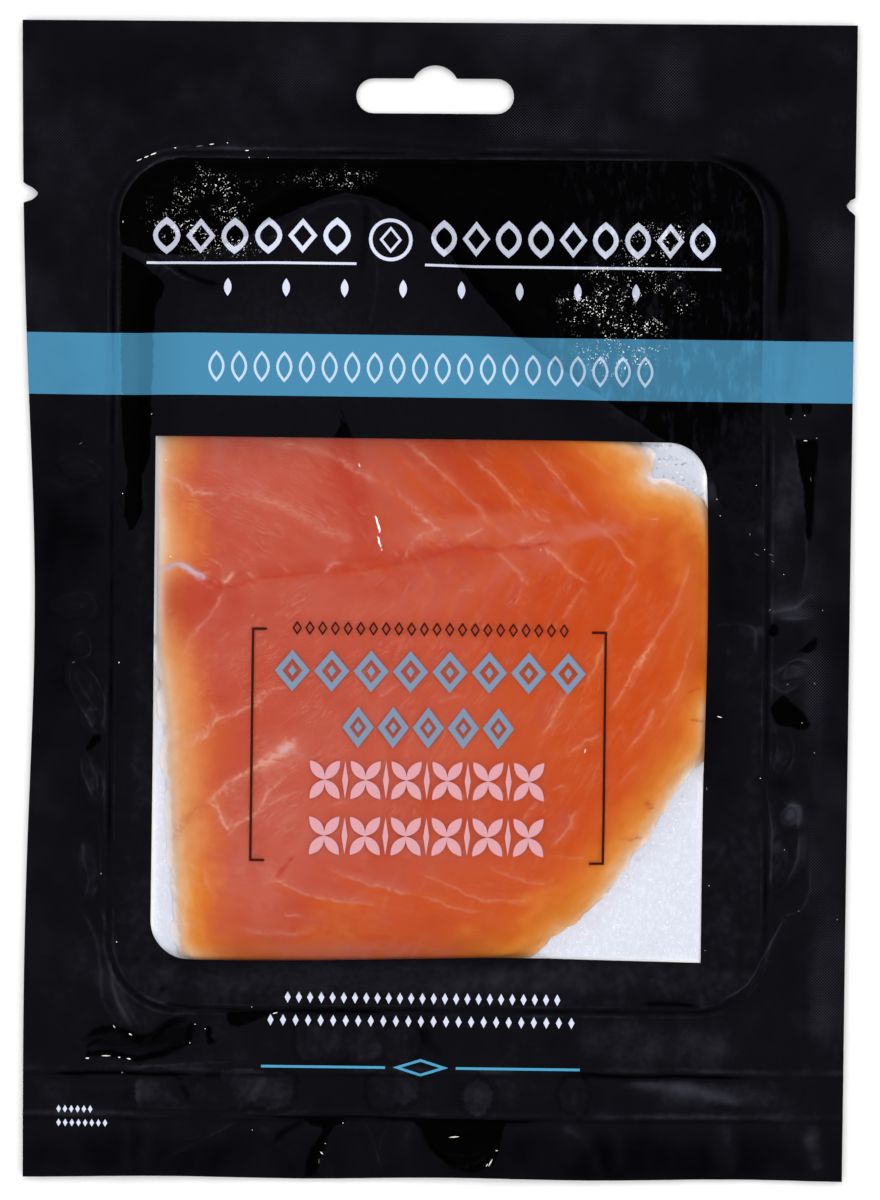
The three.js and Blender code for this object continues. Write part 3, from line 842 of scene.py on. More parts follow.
def filmHeight(x, y):
    inside = insideFish(x, y)
    along = (inside + fishShape["filmFoot"]) / (fishShape["rimRun"] + fishShape["filmFoot"])
    mound = quarterWave(along) ** fishShape["filmFullness"] * (moundHeight + swell(x, y))
    mound *= smooth(1, -3, offBoard(x, y))
    bare = smooth(2, -1, inside) * smooth(1, -1, offBoard(x, y))
    bubbles = 0.1 * lumps(x / 2.2, y / 2.6, 14) * bare
    surface = lift(x, y) + weld + boardRim(offBoard(x, y)) + mound + bubbles + wrinkles(x, y)
    surface += 0.05 * lumps(x / 12, y / 15, 15) * (1 - bare)
    return np.maximum(surface, weld + pouch["leastRoom"])


def linkUp(loop, step):
    # a loop with points no further apart than step
    made = []
    for start, end in zip(loop, np.roll(loop, -1, axis=0)):
        count = max(1, int(math.ceil(np.hypot(*(end - start)) / step)))
        made += [start + (end - start) * k / count for k in range(count)]
    return np.array(made)


def plan(outline, holes, marks, pitch, extra=None, fineZone=None):
    # triangles of the outline less its holes, with edges along every mark
    loops = [linkUp(np.array(loop, float), pitch) for loop in [outline, *holes, *marks]]
    edges, points = [], []
    for loop in loops:
        first = len(points)
        points += [tuple(p) for p in loop]
        edges += [(first + k, first + (k + 1) % len(loop)) for k in range(len(loop))]
    if extra is not None:
        points += [tuple(p) for p in extra]
    tree = kdtree.KDTree(len(points))
    for k, (x, y) in enumerate(points):
        tree.insert((x, y, 0), k)
    tree.balance()
    # a staggered grid, twice as close in the fine zone
    low, high = np.min(outline, 0), np.max(outline, 0)
    step = pitch / 2 if fineZone else pitch
    rows, columns = int((high[1] - low[1]) / step * 1.16) + 1, int((high[0] - low[0]) / step * 1.7) + 2
    row, column = np.mgrid[0:rows, 0:columns]
    column = column - row // 2
    gridX, gridY = low[0] + (column + row / 2) * step, low[1] + row * step * math.sqrt(3) / 2
    keep = (gridX < high[0]) & (gridY < high[1])
    if fineZone:
        keep &= fineZone(gridX, gridY) | ((row % 2 == 0) & (column % 2 == 0))
    for x, y in zip(gridX[keep], gridY[keep]):
        if tree.find((x, y, 0))[2] > 0.55 * step:
            points.append((x, y))
    flat, _, faces, *_ = geometry.delaunay_2d_cdt([Vector(p) for p in points], edges, [], 0, 1e-5)
    flat = np.array([tuple(p) for p in flat])
    faces = np.array(faces)
    middle = flat[faces].mean(1)
    keep = insideLoop(loops[0], middle[:, 0], middle[:, 1])
    for hole in loops[1:1 + len(holes)]:
        keep &= ~insideLoop(hole, middle[:, 0], middle[:, 1])
    faces, middle = faces[keep], middle[keep]
    used, place = np.unique(faces, return_inverse=True)
    return flat[used], place.reshape(faces.shape), middle


def rowsAlong(lines, shares, apart):
    # rows of points that follow the lines, none closer together than `apart`
    made, taken = [], {}
    for _, width, line in lines:
        step = np.gradient(line, axis=0)
        normal = np.column_stack([-step[:, 1], step[:, 0]]) / np.maximum(np.hypot(*step.T), 1e-6)[:, None]
        for share in shares:
            for x, y in line + normal * share * width:
                column, row = int(x // apart), int(y // apart)
                cells = [(column + i, row + j) for i in (-1, 0, 1) for j in (-1, 0, 1)]
                near = [taken[cell] for cell in cells if cell in taken]
                if all((x - px) ** 2 + (y - py) ** 2 > apart ** 2 for px, py in near):
                    taken[column, row] = (x, y)
                    made.append((x, y))
    return np.array(made)


def walkRound(sides):
    # the points of a closed border in order, from its unordered sides
    following = dict(sides)
    walk = [sides[0][0]]
    while following[walk[-1]] != walk[0]:
        walk.append(following[walk[-1]])
    return walk


def closedSheet(name, flat, faces, top, bottom, sharp=50, plainUnder=False):
    # upper and lower faces joined by a wall round every edge; a plain underside needs only border points.
    # It gives the mesh, and which point of `flat` each of its points came from
    count = len(flat)
    ways = np.vstack([faces[:, [0, 1]], faces[:, [1, 2]], faces[:, [2, 0]]])
    pairs, times = np.unique(np.sort(ways, axis=1), axis=0, return_counts=True)
    single = {tuple(p) for p in pairs[times == 1].tolist()}
    border = [(a, b) for a, b in ways.tolist() if (min(a, b), max(a, b)) in single]
    wall, lower = [], faces[:, ::-1] + count
    for a, b in border:
        wall += [(b, a, a + count), (b, a + count, b + count)]
    if plainUnder:
        walk = np.array(walkRound(border))
        lower = walk[np.array(geometry.tessellate_polygon([[Vector((*flat[k], 0)) for k in walk]]))] + count
        first, second, third = [flat[lower[:, k] - count] for k in range(3)]
        ab, ac = second - first, third - first
        up = ab[:, 0] * ac[:, 1] - ab[:, 1] * ac[:, 0] > 0
        lower[up] = lower[up][:, ::-1]
    points = np.vstack([np.column_stack([flat, top]), np.column_stack([flat, bottom])]) * mm
    allFaces = np.vstack([faces, lower, np.array(wall)])
    used, place = np.unique(allFaces, return_inverse=True)
    mesh = bpy.data.meshes.new(name)
    mesh.from_pydata(points[used].tolist(), [], place.reshape(allFaces.shape).tolist())
    mesh.shade_smooth()
    mesh.set_sharp_from_angle(angle=math.radians(sharp))
    mesh.validate()
    made = bpy.data.objects.new(name, mesh)
    bpy.context.scene.collection.objects.link(made)
    return made, used % count


def addField(made, name, values, domain="POINT"):
    kind = "FLOAT" if np.ndim(values) == 1 else "FLOAT_COLOR"
    key = "value" if kind == "FLOAT" else "color"
    layer = made.data.attributes.new(name, kind, domain)
    layer.data.foreach_set(key, np.asarray(values, np.float32).ravel())


def addFields(made, source, fields):
    # values given for the plan's points, carried to the mesh's points
    for name, values in fields.items():
        addField(made, name, values[source])


def finishPiece(made, material, slot, *nodes):
    made.data.materials.append(material)
    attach(made, "root")
    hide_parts(*nodes)
    print(made.name, len(made.data.polygons), "faces")


def pouchLoop():
    # the pouch's outline, from its lower left corner
    step = 0.5
    ys = np.arange(pouchLow[1], pouchHigh[1], step)
    hemX = np.arange(leftEdge(pouchLow[1]), rightEdge(pouchLow[1]), step)
    hem = pouchLow[1] + pouch["hemRipple"] * (0.5 - 0.5 * np.cos((hemX - pouchLow[0]) / 9))
    topX = np.arange(pouchHigh[0], pouchLow[0], -step)
    return np.vstack([
        np.column_stack([hemX, hem]),
        np.column_stack([rightEdge(ys), ys]),
        np.column_stack([topX, np.full(topX.shape, pouchHigh[1])]),
        np.column_stack([leftEdge(ys[::-1]), ys[::-1]]),
    ])


def arc(cx, cy, radius, start, end, count=12):
    angles = np.radians(np.linspace(start, end, count))
    return [(cx + radius * math.cos(a), cy + radius * math.sin(a)) for a in angles]


def holeLoop():
    end = hangHole["height"] / 2
    half = hangHole["width"] / 2 - end
    bump = hangHole["bumpRadius"]
    bumpY = end + hangHole["bumpRise"] - bump
    reach = math.degrees(math.asin((end - bumpY) / bump))
    loop = arc(half, 0, end, -90, 90) + arc(0, bumpY, bump, reach, 180 - reach, 16)
    loop += arc(-half, 0, end, 90, 270)
    return np.array(loop) + (hangHole["x"], hangHole["y"])


def turned(loop, degrees, x=0, y=0):
    # turned about the origin, then moved
    angle = math.radians(degrees)
    turn = np.array([[math.cos(angle), math.sin(angle)], [-math.sin(angle), math.cos(angle)]])
    return np.array(loop, float) @ turn + (x, y)


def tilted(loop):
    return turned(loop, printTilt)


def windowLoop():
    x, y = window["width"] / 2, window["height"] / 2
    upper, lower = window["upperRight"], window["lowerLeft"]
    loop = [(x, -y)] + arc(x - upper, y - upper, upper, 0, 90, 16) + [(-x, y)]
    loop += arc(-x + lower, -y + lower, lower, 180, 270, 16)
    loop = linkUp(tilted(loop) + window["centre"], 1.5)
    # the stretched film bows its printed edges a little
    x, y = loop[:, 0], loop[:, 1]
    foot, right = window["centre"][1] - window["height"] / 2, window["centre"][0] + window["width"] / 2
    shiftX = 0.06 * bell(y + 20, 32) * smooth(-40, -52, x)
    shiftX += 0.45 * bell(y + 2, 26) * smooth(right - 6, right - 2, x)
    shiftY = (bell(x - 12, 31) + 0.2 * smooth(25, 50, x)) * smooth(foot + 4, foot + 1.5, y)
    return loop + np.column_stack([shiftX, shiftY])


def boardLoop():
    corner = pouch["boardCorner"]
    x, y = boardHalf[0] - corner, boardHalf[1] - corner
    loop = []
    for cx, cy, start in ((x, y, 0), (-x, y, 90), (-x, -y, 180), (x, -y, 270)):
        loop += arc(cx, cy, corner, start, start + 90, 14)
    return np.array(loop) + boardMiddle[:2]


# colours of the printed fields and the plain ornament; glint and faint are the colours of painted glints
printAndGlintInks = {
    "lilac": "#ced2e6",
    "blue": "#4381a3",
    "pale": "#b8cde3",
    "brown": "#43160f",
    "slate": "#76889f",
    "pink": "#d0989f",
    "rule": "#4a9bc0",
    # painted glints, bright and faint
    "glint": "#fffdf2",
    "faint": "#75736f",
    "none": "#000000",
}


def box(x0, y0, x1, y1):
    return [(x0, y0), (x1, y0), (x1, y1), (x0, y1)]


def lozenge(x, y, width, height):
    return [(x + width / 2, y), (x, y + height / 2), (x - width / 2, y), (x, y - height / 2)]


def leaf(x, y, width, height, degrees=0, count=9):
    # two arcs that meet in points
    t = np.linspace(-1, 1, count)
    side = np.column_stack([width / 2 * (1 - t ** 2), height / 2 * t])
    return turned(np.vstack([side, -side[1:-1]]), degrees, x, y)


def ring(x, y, radius, stroke, ink):
    loops = [arc(x, y, r, 0, 348, 30) for r in (radius, radius - stroke)]
    return [(loops[0], ink), (loops[1], "none")]


def hollowLeaf(x, y, width, height, stroke, ink):
    return [(leaf(x, y, width, height), ink), (leaf(x, y, width - 2 * stroke, height - 3 * stroke), "none")]


def hollowLozenge(x, y, width, height, stroke, ink):
    slope = math.hypot(width, height) / height
    inner = lozenge(x, y, width - 2 * stroke * slope, height - 2 * stroke * slope * height / width)
    return [(lozenge(x, y, width, height), ink), (inner, "none")]


def spaced(row):
    # the places along a row, given as y, from x, to x and how many; and their pitch
    y, low, high, count = row
    pitch = (high - low) / count
    return [(low + pitch * (k + 0.5), y) for k in range(count)], pitch


# painted glints, bright slivers on sharp folds: x, y, length, width, degrees
paintedFilmGlints = [
    (-68.3, -90.8, 0.9, 0.3, 0), (-64.6, -90.3, 2.2, 0.25, 0), (-62, -90.6, 0.6, 0.25, -5),
    (-60.1, -90.9, 1.1, 0.3, -10), (-59.9, -86.1, 0.9, 0.35, -25), (-63.1, -84.6, 0.8, 0.2, -50),
    (-47.1, -84, 0.35, 0.3, 0), (-45.1, -84.9, 0.35, 0.3, 0), (-48.1, -87.7, 0.4, 0.3, 0),
    (-31.3, -81.7, 1.3, 0.25, 15), (-35.9, -80.5, 0.4, 0.2, 0), (-61.4, -93.6, 0.4, 0.2, 0),
    (4.3, -105.9, 2.5, 0.3, 5), (11.5, -110.9, 2.1, 0.3, 62), (12.7, -108.5, 0.6, 0.2, 0),
    (10.8, -111.4, 0.9, 0.2, 60), (-17.7, -103.3, 0.4, 0.3, 0), (-21.2, -107.4, 0.4, 0.3, 0),
    (-21.9, -109.3, 0.9, 0.3, -40), (-22.4, -110.9, 1.4, 0.15, -95), (-35.6, -104.8, 0.3, 0.2, 0),
    (-59.3, 86.8, 1.4, 0.2, 22), (-57.9, 87.4, 1.2, 0.25, 24), (-56.5, 88, 1.6, 0.3, 22),
    (-52.2, 89.2, 0.5, 0.25, 0), (-47.4, 89.6, 1.7, 0.18, 8), (-45, 90, 1.2, 0.2, 8),
    (-41.9, 90.3, 0.4, 0.3, 0), (-38, 88.8, 1, 0.2, 0), (-37.6, 87.4, 0.4, 0.3, 0),
    (-33.8, 87.4, 0.3, 0.25, 0), (-62.4, 74.5, 0.5, 0.2, -90), (72.6, 37.2, 0.3, 0.3, 0),
    (69.9, 36.5, 0.3, 0.2, 0), (72.8, 32.2, 1, 0.2, 0), (75, 32.7, 0.3, 0.2, 0),
    (73.9, 24.6, 1.2, 0.15, -80), (61.9, 13.6, 0.6, 0.15, -70), (64.8, 10.6, 0.3, 0.2, 0),
    (63.3, 9.6, 1.3, 0.12, -25), (66.2, 9.6, 1.2, 0.12, -15), (66.5, 8.3, 0.9, 0.12, -30),
    (68.7, 5.7, 0.3, 0.2, 0), (66, -1.3, 0.8, 0.15, 40), (76.4, -1.3, 0.3, 0.25, 0),
    (75, -15.9, 0.3, 0.2, 0), (69.6, -16, 0.6, 0.15, 30), (72.5, -23.6, 0.3, 0.3, 0),
    (74.9, -15.8, 0.6, 0.15, -50), (75, -29.5, 0.3, 0.2, 0), (64.3, -34.6, 0.3, 0.3, 0),
    (56.1, -22.5, 1.3, 0.25, -15), (53.7, -36.7, 0.9, 0.15, -75), (54.3, -55.9, 0.3, 0.2, 0),
    (69.2, -48.7, 0.3, 0.2, 0), (79.7, -62.4, 0.3, 0.2, 0), (72.1, -60.8, 0.5, 0.15, 40),
    (53.6, -68.7, 0.5, 0.15, 0), (-62.1, 20.8, 0.35, 0.35, 0), (-56.4, 36.5, 0.35, 0.3, 0),
    (-62.6, -12.6, 0.4, 0.4, 0), (-70.5, 30.7, 1, 0.12, 30), (-71.6, -12.6, 0.8, 0.12, 20),
    (-62.7, -67.8, 0.4, 0.35, 0), (-65.9, -54.4, 0.3, 0.2, -60), (56, 17.2, 0.3, 0.3, 0),
    (55.3, 20.5, 0.4, 0.25, 0), (63.1, 23.3, 0.3, 0.2, 0),
]
# painted glints on the clear film over the fish, as above
paintedFishGlints = [
    (-11.9, 16.2, 1.5, 0.4, 118), (-11.7, 15.4, 1.7, 0.5, 104), (-11.4, 14.5, 1.4, 0.6, 95),
    (-11.2, 13.8, 1.3, 0.4, 78), (-11.4, 12.2, 1.3, 0.4, 112), (-11.3, 11.5, 1.2, 0.55, 100),
    (-11, 10.8, 0.9, 0.35, 80), (-10.8, 10, 0.5, 0.25, 90), (-15.3, 26.6, 1.1, 0.2, 110),
    (-15.0, 25.9, 0.5, 0.14, 100), (-53.4, 27.4, 0.4, 0.3, 0), (-53.6, 15.6, 0.35, 0.25, 0),
    (20.5, 10.2, 0.35, 0.3, 0), (29.5, -29.3, 1.2, 0.2, 80), (-52.4, 8.4, 0.5, 0.2, 0),
]


def paintedGlintSlivers(places):
    # each glint is painted as a small mark, bright or faint
    made = []
    for x, y, length, width, degrees in places:
        scale = 0.6 if length < 0.5 else 0.85
        ink = "faint" if width < 0.2 else "glint"
        made.append((leaf(x, y, scale * width, scale * length, degrees - 90, 5), ink))
    return made


# boxes are left, bottom, right and top; rows are y, from x, to x and how many
blackPrint = {
    "band": (-95, 40, 95, 52.2),
    "header": [(71.6, -57.5, -17, 6), (71.6, -2.5, 55, 9)],
    "headerLine": (65.9, 66.4),
    "badge": (-9.8, 71),
    "seeds": (61.3, -47.5, 44.5, 8),
    "bandLeaves": (45.7, -46, 43, 20),
    "footRows": [(-78.6, -29.5, 26, 25), (-83.2, -33, 29, 25)],
    "rules": [(-33.5, -92.6, -9, -92.1), (5, -92.6, 29.5, -92.1)],
    "ruleMark": (-2, -92.3),
    "cornerRows": [(-101.2, -74, -66.5, 6), (-103.9, -74, -63.5, 8)],
}


def frontPrint():
    # on the black film: header ornament, blue band, small rows and rule, and the painted glints
    marks = [(box(*blackPrint["band"]), "blue")]
    for row in blackPrint["header"]:
        places, pitch = spaced(row)
        for k, (x, y) in enumerate(places):
            if k % 3 == 1:
                marks += hollowLozenge(x, y, pitch * 0.86, 7, 0.85, "lilac")
            else:
                marks += hollowLeaf(x, y, pitch * 0.8, 7.4, 0.95, "lilac")
        low, high = blackPrint["headerLine"]
        marks.append((box(row[1] - 0.5, low, row[2] + 0.5, high), "lilac"))
    marks += ring(*blackPrint["badge"], 4.3, 0.7, "lilac")
    marks += hollowLozenge(*blackPrint["badge"], 4.4, 5.4, 0.5, "lilac")
    for x, y in spaced(blackPrint["seeds"])[0]:
        marks.append((leaf(x, y, 1.5, 3.6), "lilac"))
    places, pitch = spaced(blackPrint["bandLeaves"])
    for x, y in places:
        marks += hollowLeaf(x, y, pitch * 0.72, 6.2, 0.5, "pale")
    for row in blackPrint["footRows"]:
        for x, y in spaced(row)[0]:
            marks.append((lozenge(x, y, 1.2, 2.3), "lilac"))
    for rule in blackPrint["rules"]:
        marks.append((box(*rule), "rule"))
    marks += hollowLozenge(*blackPrint["ruleMark"], 11, 3.4, 0.5, "rule")
    for row in blackPrint["cornerRows"]:
        for x, y in spaced(row)[0]:
            marks.append((lozenge(x, y, 0.9, 1.5), "lilac"))
    return [(tilted(loop), ink) for loop, ink in marks] + paintedGlintSlivers(paintedFilmGlints)


clearPrint = {
    "brackets": [(-1, -36.2), (1, 33.7)],  # side, x
    "bracketEnds": (-51.6, -5.6),
    "bracketReach": 3,
    "bracketStroke": 0.52,
    "topRow": (-5.6, -28.5, 26.5, 22),
    "slateRows": [(-14, -32, 30, 8), (-25, -18.5, 16, 5)],
    "pinkRows": [(-35.4, -25.5, 22.7, 6), (-46.4, -25.5, 22.7, 6)],
    "petals": (38, 142, 218, 322),  # degrees
    "petalOut": 2.4,
}


def windowPrint():
    # on the clear film: two brackets and rows of ornament between them, and the painted glints
    marks = []
    bottom, top = clearPrint["bracketEnds"]
    stroke = clearPrint["bracketStroke"]
    for side, x in clearPrint["brackets"]:
        inner = x - side * clearPrint["bracketReach"]
        stem = x - side * stroke
        loop = [(x, top), (inner, top), (inner, top - stroke), (stem, top - stroke),
                (stem, bottom + stroke), (inner, bottom + stroke), (inner, bottom), (x, bottom)]
        marks.append((loop, "brown"))
    for x, y in spaced(clearPrint["topRow"])[0]:
        marks += hollowLozenge(x, y, 1.9, 2.9, 0.32, "brown")
    for row in clearPrint["slateRows"]:
        places, pitch = spaced(row)
        for x, y in places:
            marks += hollowLozenge(x, y, pitch * 0.9, 8.2, 1.15, "slate")
            marks.append((lozenge(x, y, 1.6, 2.2), "slate"))
    for row in clearPrint["pinkRows"]:
        places, pitch = spaced(row)
        for x, y in places:
            for degrees in clearPrint["petals"]:
                dx = clearPrint["petalOut"] * math.sin(math.radians(degrees))
                dy = clearPrint["petalOut"] * math.cos(math.radians(degrees))
                marks.append((leaf(x + dx, y + dy, 2.1, 4.8, -degrees), "pink"))
            if x < places[-1][0]:
                marks.append((lozenge(x + pitch / 2, y, 1.2, 7.4), "pink"))
    return [(tilted(loop), ink) for loop, ink in marks] + paintedGlintSlivers(paintedFishGlints)


def printAndGlintFields(made, marks, middle, faceCount):
    # each face's colour of print and painted glints, and whether either covers it
    tone = np.zeros((faceCount, 4))
    tone[:, 3] = 1
    cover = np.zeros(faceCount)
    upper = np.arange(len(middle))
    grounds = [loop for loop, ink in marks if ink == "blue"]
    for loop, ink in marks:
        hit = upper[insideLoop(np.array(loop), middle[:, 0], middle[:, 1])]
        cover[hit] = ink != "none"
        tone[hit] = colour(printAndGlintInks[ink])
        if ink == "none":  # inside a hollow mark the blue ground shows again
            for ground in grounds:
                again = hit[insideLoop(np.array(ground), middle[hit, 0], middle[hit, 1])]
                cover[again] = 1
                tone[again] = colour(printAndGlintInks["blue"])
    addField(made, "ink", tone, "FACE")
    addField(made, "cover", cover, "FACE")


filmLook = {
    "tight": "#000001",  # over the bare board
    "loose": "#0d0c11",  # over the fish and in the margin, lifted by painted reflection
    "sheen": "#34343d",  # where slack film catches the light
    # colour of the painted glints
    "glint": "#f7f5ee",
    "gloss": 0.008,
    "roughness": 0.09,
    "emboss": 0.6,  # pitch of the pressed weave
    "embossDepth": 0.03,
    "crumpleDepth": 0.3,
    "fineDepth": 0.2,
}


def filmMaterial():
    finish = Finish("printedFilm")
    cover = finish.field("cover")
    ink = finish.field("ink", "Color")
    tone, loose = finish.field("tone"), finish.field("slack")
    crumpled, pressed = finish.field("crumple"), finish.field("emboss")
    x, y, _ = finish.parts(finish.place())
    # painted light and dark contour lines round the lobes
    loose = loose + 0.12 * (finish.noise(2.4, 2) - 0.5)
    foldShading = 0.25 * loose.between(0.2, 1.0) + 0.1 * loose.ridge(0.45, 0.12) + 0.1 * loose.ridge(0.85, 0.12)
    foldShading = foldShading - 0.14 * loose.ridge(0.26, 0.09) - 0.1 * loose.ridge(0.64, 0.08)
    # painted light and shade along the board's edge and the seal lines, both stronger in some places
    uneven = 0.25 + 0.9 * finish.noise(16, 3).between(0.35, 0.65)
    corner = pouch["boardCorner"]
    dx = ((x - boardMiddle[0]).size() - (boardHalf[0] - corner)).atLeast(0)
    dy = ((y - boardMiddle[1]).size() - (boardHalf[1] - corner)).atLeast(0)
    off = (dx * dx + dy * dy) ** 0.5 - corner + 0.4 * (finish.noise(14, 2) - 0.5)
    creviceShading = 0.3 * off.ridge(0, 0.35) + 0.3 * off.ridge(1.9, 0.5) - 0.65 * off.ridge(0.9, 0.6)
    foldShading = foldShading + creviceShading * uneven
    wander = y + 0.8 * (finish.noise(12, 2, stretch=(1, 0, 1)) - 0.5)
    for level, _ in pouch["sealLines"]:
        sealShading = 0.3 * wander.ridge(level - 0.5, 0.6) - 0.35 * wander.ridge(level + 0.6, 1.0)
        foldShading = foldShading - sealShading * uneven
    # the film's tone with mottling, the pressed weave drawn in painted light and shade, and the painted lines
    # above
    mottle = (finish.noise(6, 3) - 0.5) * 0.2 + (finish.noise(1.3, 4) - 0.5) * (0.3 + crumpled)
    turn = 2 * math.pi / filmLook["emboss"]
    weave = (x * turn).sine() * (y * turn).sine()
    shade = tone + (mottle + 1.4 * weave * pressed) * tone.atMost(1) + foldShading
    # tight film is black, with painted reflection streaks at the right and painted grey mottling at the lower
    # right
    tight = (finish.field("tight") + 1.2 * (finish.noise(2.5, 3) - 0.5)).between(-0.2, 0.2)
    streaks = finish.noise(1.9, 4, stretch=(1, 0.35, 1), roughness=0.65).between(0.47, 0.7)
    streaks = streaks * (x + 12 * (finish.noise(9, 2) - 0.5)).between(14, 34)
    spots = finish.noise(3, 4, roughness=0.7).between(0.62, 0.85) * 0.12
    low = (x - y).between(14, 34)
    spots = spots + low * (0.75 + 1.4 * (finish.noise(2, 4, roughness=0.65) - 0.5))
    shade = shade * (1 - tight) + (0.95 * streaks * (1 - low) + spots).atMost(1.3) * tight
    # painted shade in the pockets
    shade = shade * (1 - (finish.field("pocket") + 0.9 * (finish.noise(1.5, 3) - 0.5)).between(-0.4, 0.35))
    # painted shade along the creases
    shade = shade * (1 - finish.field("dark").atMost(1))
    # the painted reflection and shade become the film's colour
    black = finish.blend(shade.between(0, 1.1), colour(filmLook["tight"]), colour(filmLook["loose"]))
    black = finish.blend(shade.between(1, 2.2), black, colour(filmLook["sheen"]))
    # the print is painted darker with the film's painted shade
    inkShade = 0.72 + 0.28 * shade.atMost(1).atLeast(0)
    base = finish.blend(cover, black, finish.dimmed(ink, inkShade))
    # tiny painted glints where the film is crumpled
    paintedGlints = finish.noise(0.55, 1, stretch=(1, 0.7, 1)).ridge(0.5, 0.05)
    paintedGlints = paintedGlints * finish.noise(0.4, 1).between(0.575, 0.615)
    paintedGlints = paintedGlints * finish.noise(1.6, 3, stretch=(1, 0.6, 1), roughness=0.65).between(0.46, 0.58)
    paintedGlints = paintedGlints * (crumpled + 0.35 * (finish.noise(3, 3) - 0.5)).between(0.25, 0.9)
    base = finish.blend((paintedGlints * 5).atMost(1), base, colour(filmLook["glint"]))
    rough = filmLook["roughness"] + 0.16 * tone.atMost(1) + 0.08 * finish.noise(3, 3)
    normal = finish.bump(weave * pressed, filmLook["embossDepth"])
    normal = finish.bump(finish.noise(1.3, 4, roughness=0.6) * crumpled, filmLook["crumpleDepth"], normal)
    sharp = finish.noise(0.55, 2) * crumpled.between(0.5, 1.1)
    normal = finish.bump(sharp, filmLook["fineDepth"], normal)
    shader = finish.node("BsdfPrincipled", {}, {
        "Base Color": base, "Roughness": rough, "Specular IOR Level": filmLook["gloss"], "Normal": normal})
    return finish.close(shader)


def bareBoard(x, y):
    # 1 where the film lies on the board with no fish under it
    return smooth(1.5, -1.5, insideFish(x, y)) * smooth(0.5, -0.5, offBoard(x, y))


def paintedFilmShading(x, y):
    # the black film's painted reflection and shade: 0 black, 1 the soft black lifted by painted reflection, 2
    # its palest painted sheen
    off, bare = offBoard(x, y), bareBoard(x, y)
    tone = 1 + (0.16 * lumps(x / 11, y / 13, 21) + 0.15 * lumps(x / 4, y / 5, 25)) * smooth(-1, 2, off)
    tone += 0.05 * lumps(x / 11, y / 13, 21)
    tone -= 0.3 * smooth(8, 15, off) * smooth(55, 20, y) * smooth(-60, 0, y)
    tone += (0.12 + 0.2 * lumps(x / 1.3, y / 2.6, 26) + 0.12 * lumps(x / 5, y / 9, 28)) * bare
    tone += patches(shadings, x, y)
    tone += 0.55 * strokes(sheenLines, x, y, fine) + 0.9 * strokes(panelLines, x, y)
    side = sideOf(panelLoops, x, y, 2)
    tone += (0.25 + 0.1 * lumps(x / 2.5, y / 3, 33)) * smooth(-0.6, 0.4, side) - 0.3 * bell(side + 0.8, 0.5)
    return np.clip(tone, 0, 2)


def filmFields(made, flat, source):
    x, y = flat[:, 0], flat[:, 1]
    off, bare = offBoard(x, y), bareBoard(x, y)
    # where the weave is pressed in
    weave = smooth(6, 11, off) * (0.35 + 0.65 * smooth(-0.1, 0.35, lumps(x / 26 + 3, y / 22, 22)))
    weave *= smooth(-80, -60, y)
    weave = np.maximum(weave, smooth(2, 5, off) * softSpot(x, y, 12, 93, 8, longX=3.4))
    weave *= 1 - 0.95 * smooth(70, 78, y) * smooth(46, 56, x)
    weave = np.maximum(weave, 0.7 * smooth(2, 5, off) * softSpot(x, y, -33, 98, 7, longX=2))
    weave *= 0.5 + 0.5 * smooth(-10, 10, x)
    strip = smooth(72.5, 76, x + 1.2 * lumps(x / 5, y / 7, 29)) * smooth(34, 28, y) * smooth(-88, -80, y)
    weave = np.maximum(weave, strip * (0.65 + 0.35 * lumps(x / 6, y / 12, 30)))
    crumple = 0.3 * bare * np.clip(lumps(x / 14, y / 9, 23), 0, 1)
    crumple += patches(glinting, x, y) * np.clip(0.75 + 0.8 * lumps(x / 4, y / 4, 24), 0, 1)
    crumple += 0.08 * (1 - bare)
    addFields(made, source, {
        # painted reflection and shade of the film
        "tone": paintedFilmShading(x, y),
        "slack": slack(x, y),
        "emboss": weave,
        "crumple": crumple,
        "tight": sideOf(tightZones, x, y) - 6.5 * smooth(-0.6, 0.1, off),
        "pocket": sideOf(pockets, x, y),
        "dark": strokes(shadedCreaseLines, x, y),
    })


def inMargins(x, y):
    # where the film is creased, so that its mesh has to be finer
    off = offBoard(x, y)
    return (off > 0.2) & (off < 13) & (y < 72) | (y < -80) | (np.abs(off - 0.6) < 1.8)


def makeFrontFilm():
    marks = frontPrint()
    loops = [m[0] for m in marks]
    holes = [holeLoop(), windowLoop()]
    extra = rowsAlong(shadedCreaseLines + sheenLines, (0, 0.5, -0.5, 1.1, -1.1), 0.25)
    x, y = extra[:, 0], extra[:, 1]
    extra = extra[~insideLoop(holes[1], x, y) & (np.abs(y) < pouch["creaseEnd"])]
    flat, faces, middle = plan(pouchLoop(), holes, loops, pouch["pitch"], extra, inMargins)
    top = filmHeight(flat[:, 0], flat[:, 1])
    made, source = closedSheet("frontFilm", flat, faces, top, top - web)
    printAndGlintFields(made, marks, middle, len(made.data.polygons))
    filmFields(made, flat, source)
    finishPiece(made, filmMaterial(), "black_film", "pouch")


def makeBackFilm():
    flat, faces, middle = plan(pouchLoop(), [holeLoop()], [], pouch["backPitch"])
    x, y = flat[:, 0], flat[:, 1]
    under = smooth(pouch["footRun"] + 1, 0.5, offBoard(x, y))
    upper = (filmHeight(x, y) - web) * (1 - under) + web * under
    made, source = closedSheet("backFilm", flat, faces, upper, upper - web)
    printAndGlintFields(made, [], middle, len(made.data.polygons))
    filmFields(made, flat, source)
    finishPiece(made, bpy.data.materials["printedFilm"], "black_film", "pouch")


clearLook = {
    "haze": "#d8c4c8",  # painted reflection, a faint milky veil of reflected light over the fish
    "hazeShare": 0.012,
    "gloss": 0.0025,  # reflected straight on
    "slantGloss": 0.35,  # more of it at a slant
    "roughness": 0.12,
    "rippleDepth": 0.03,
}


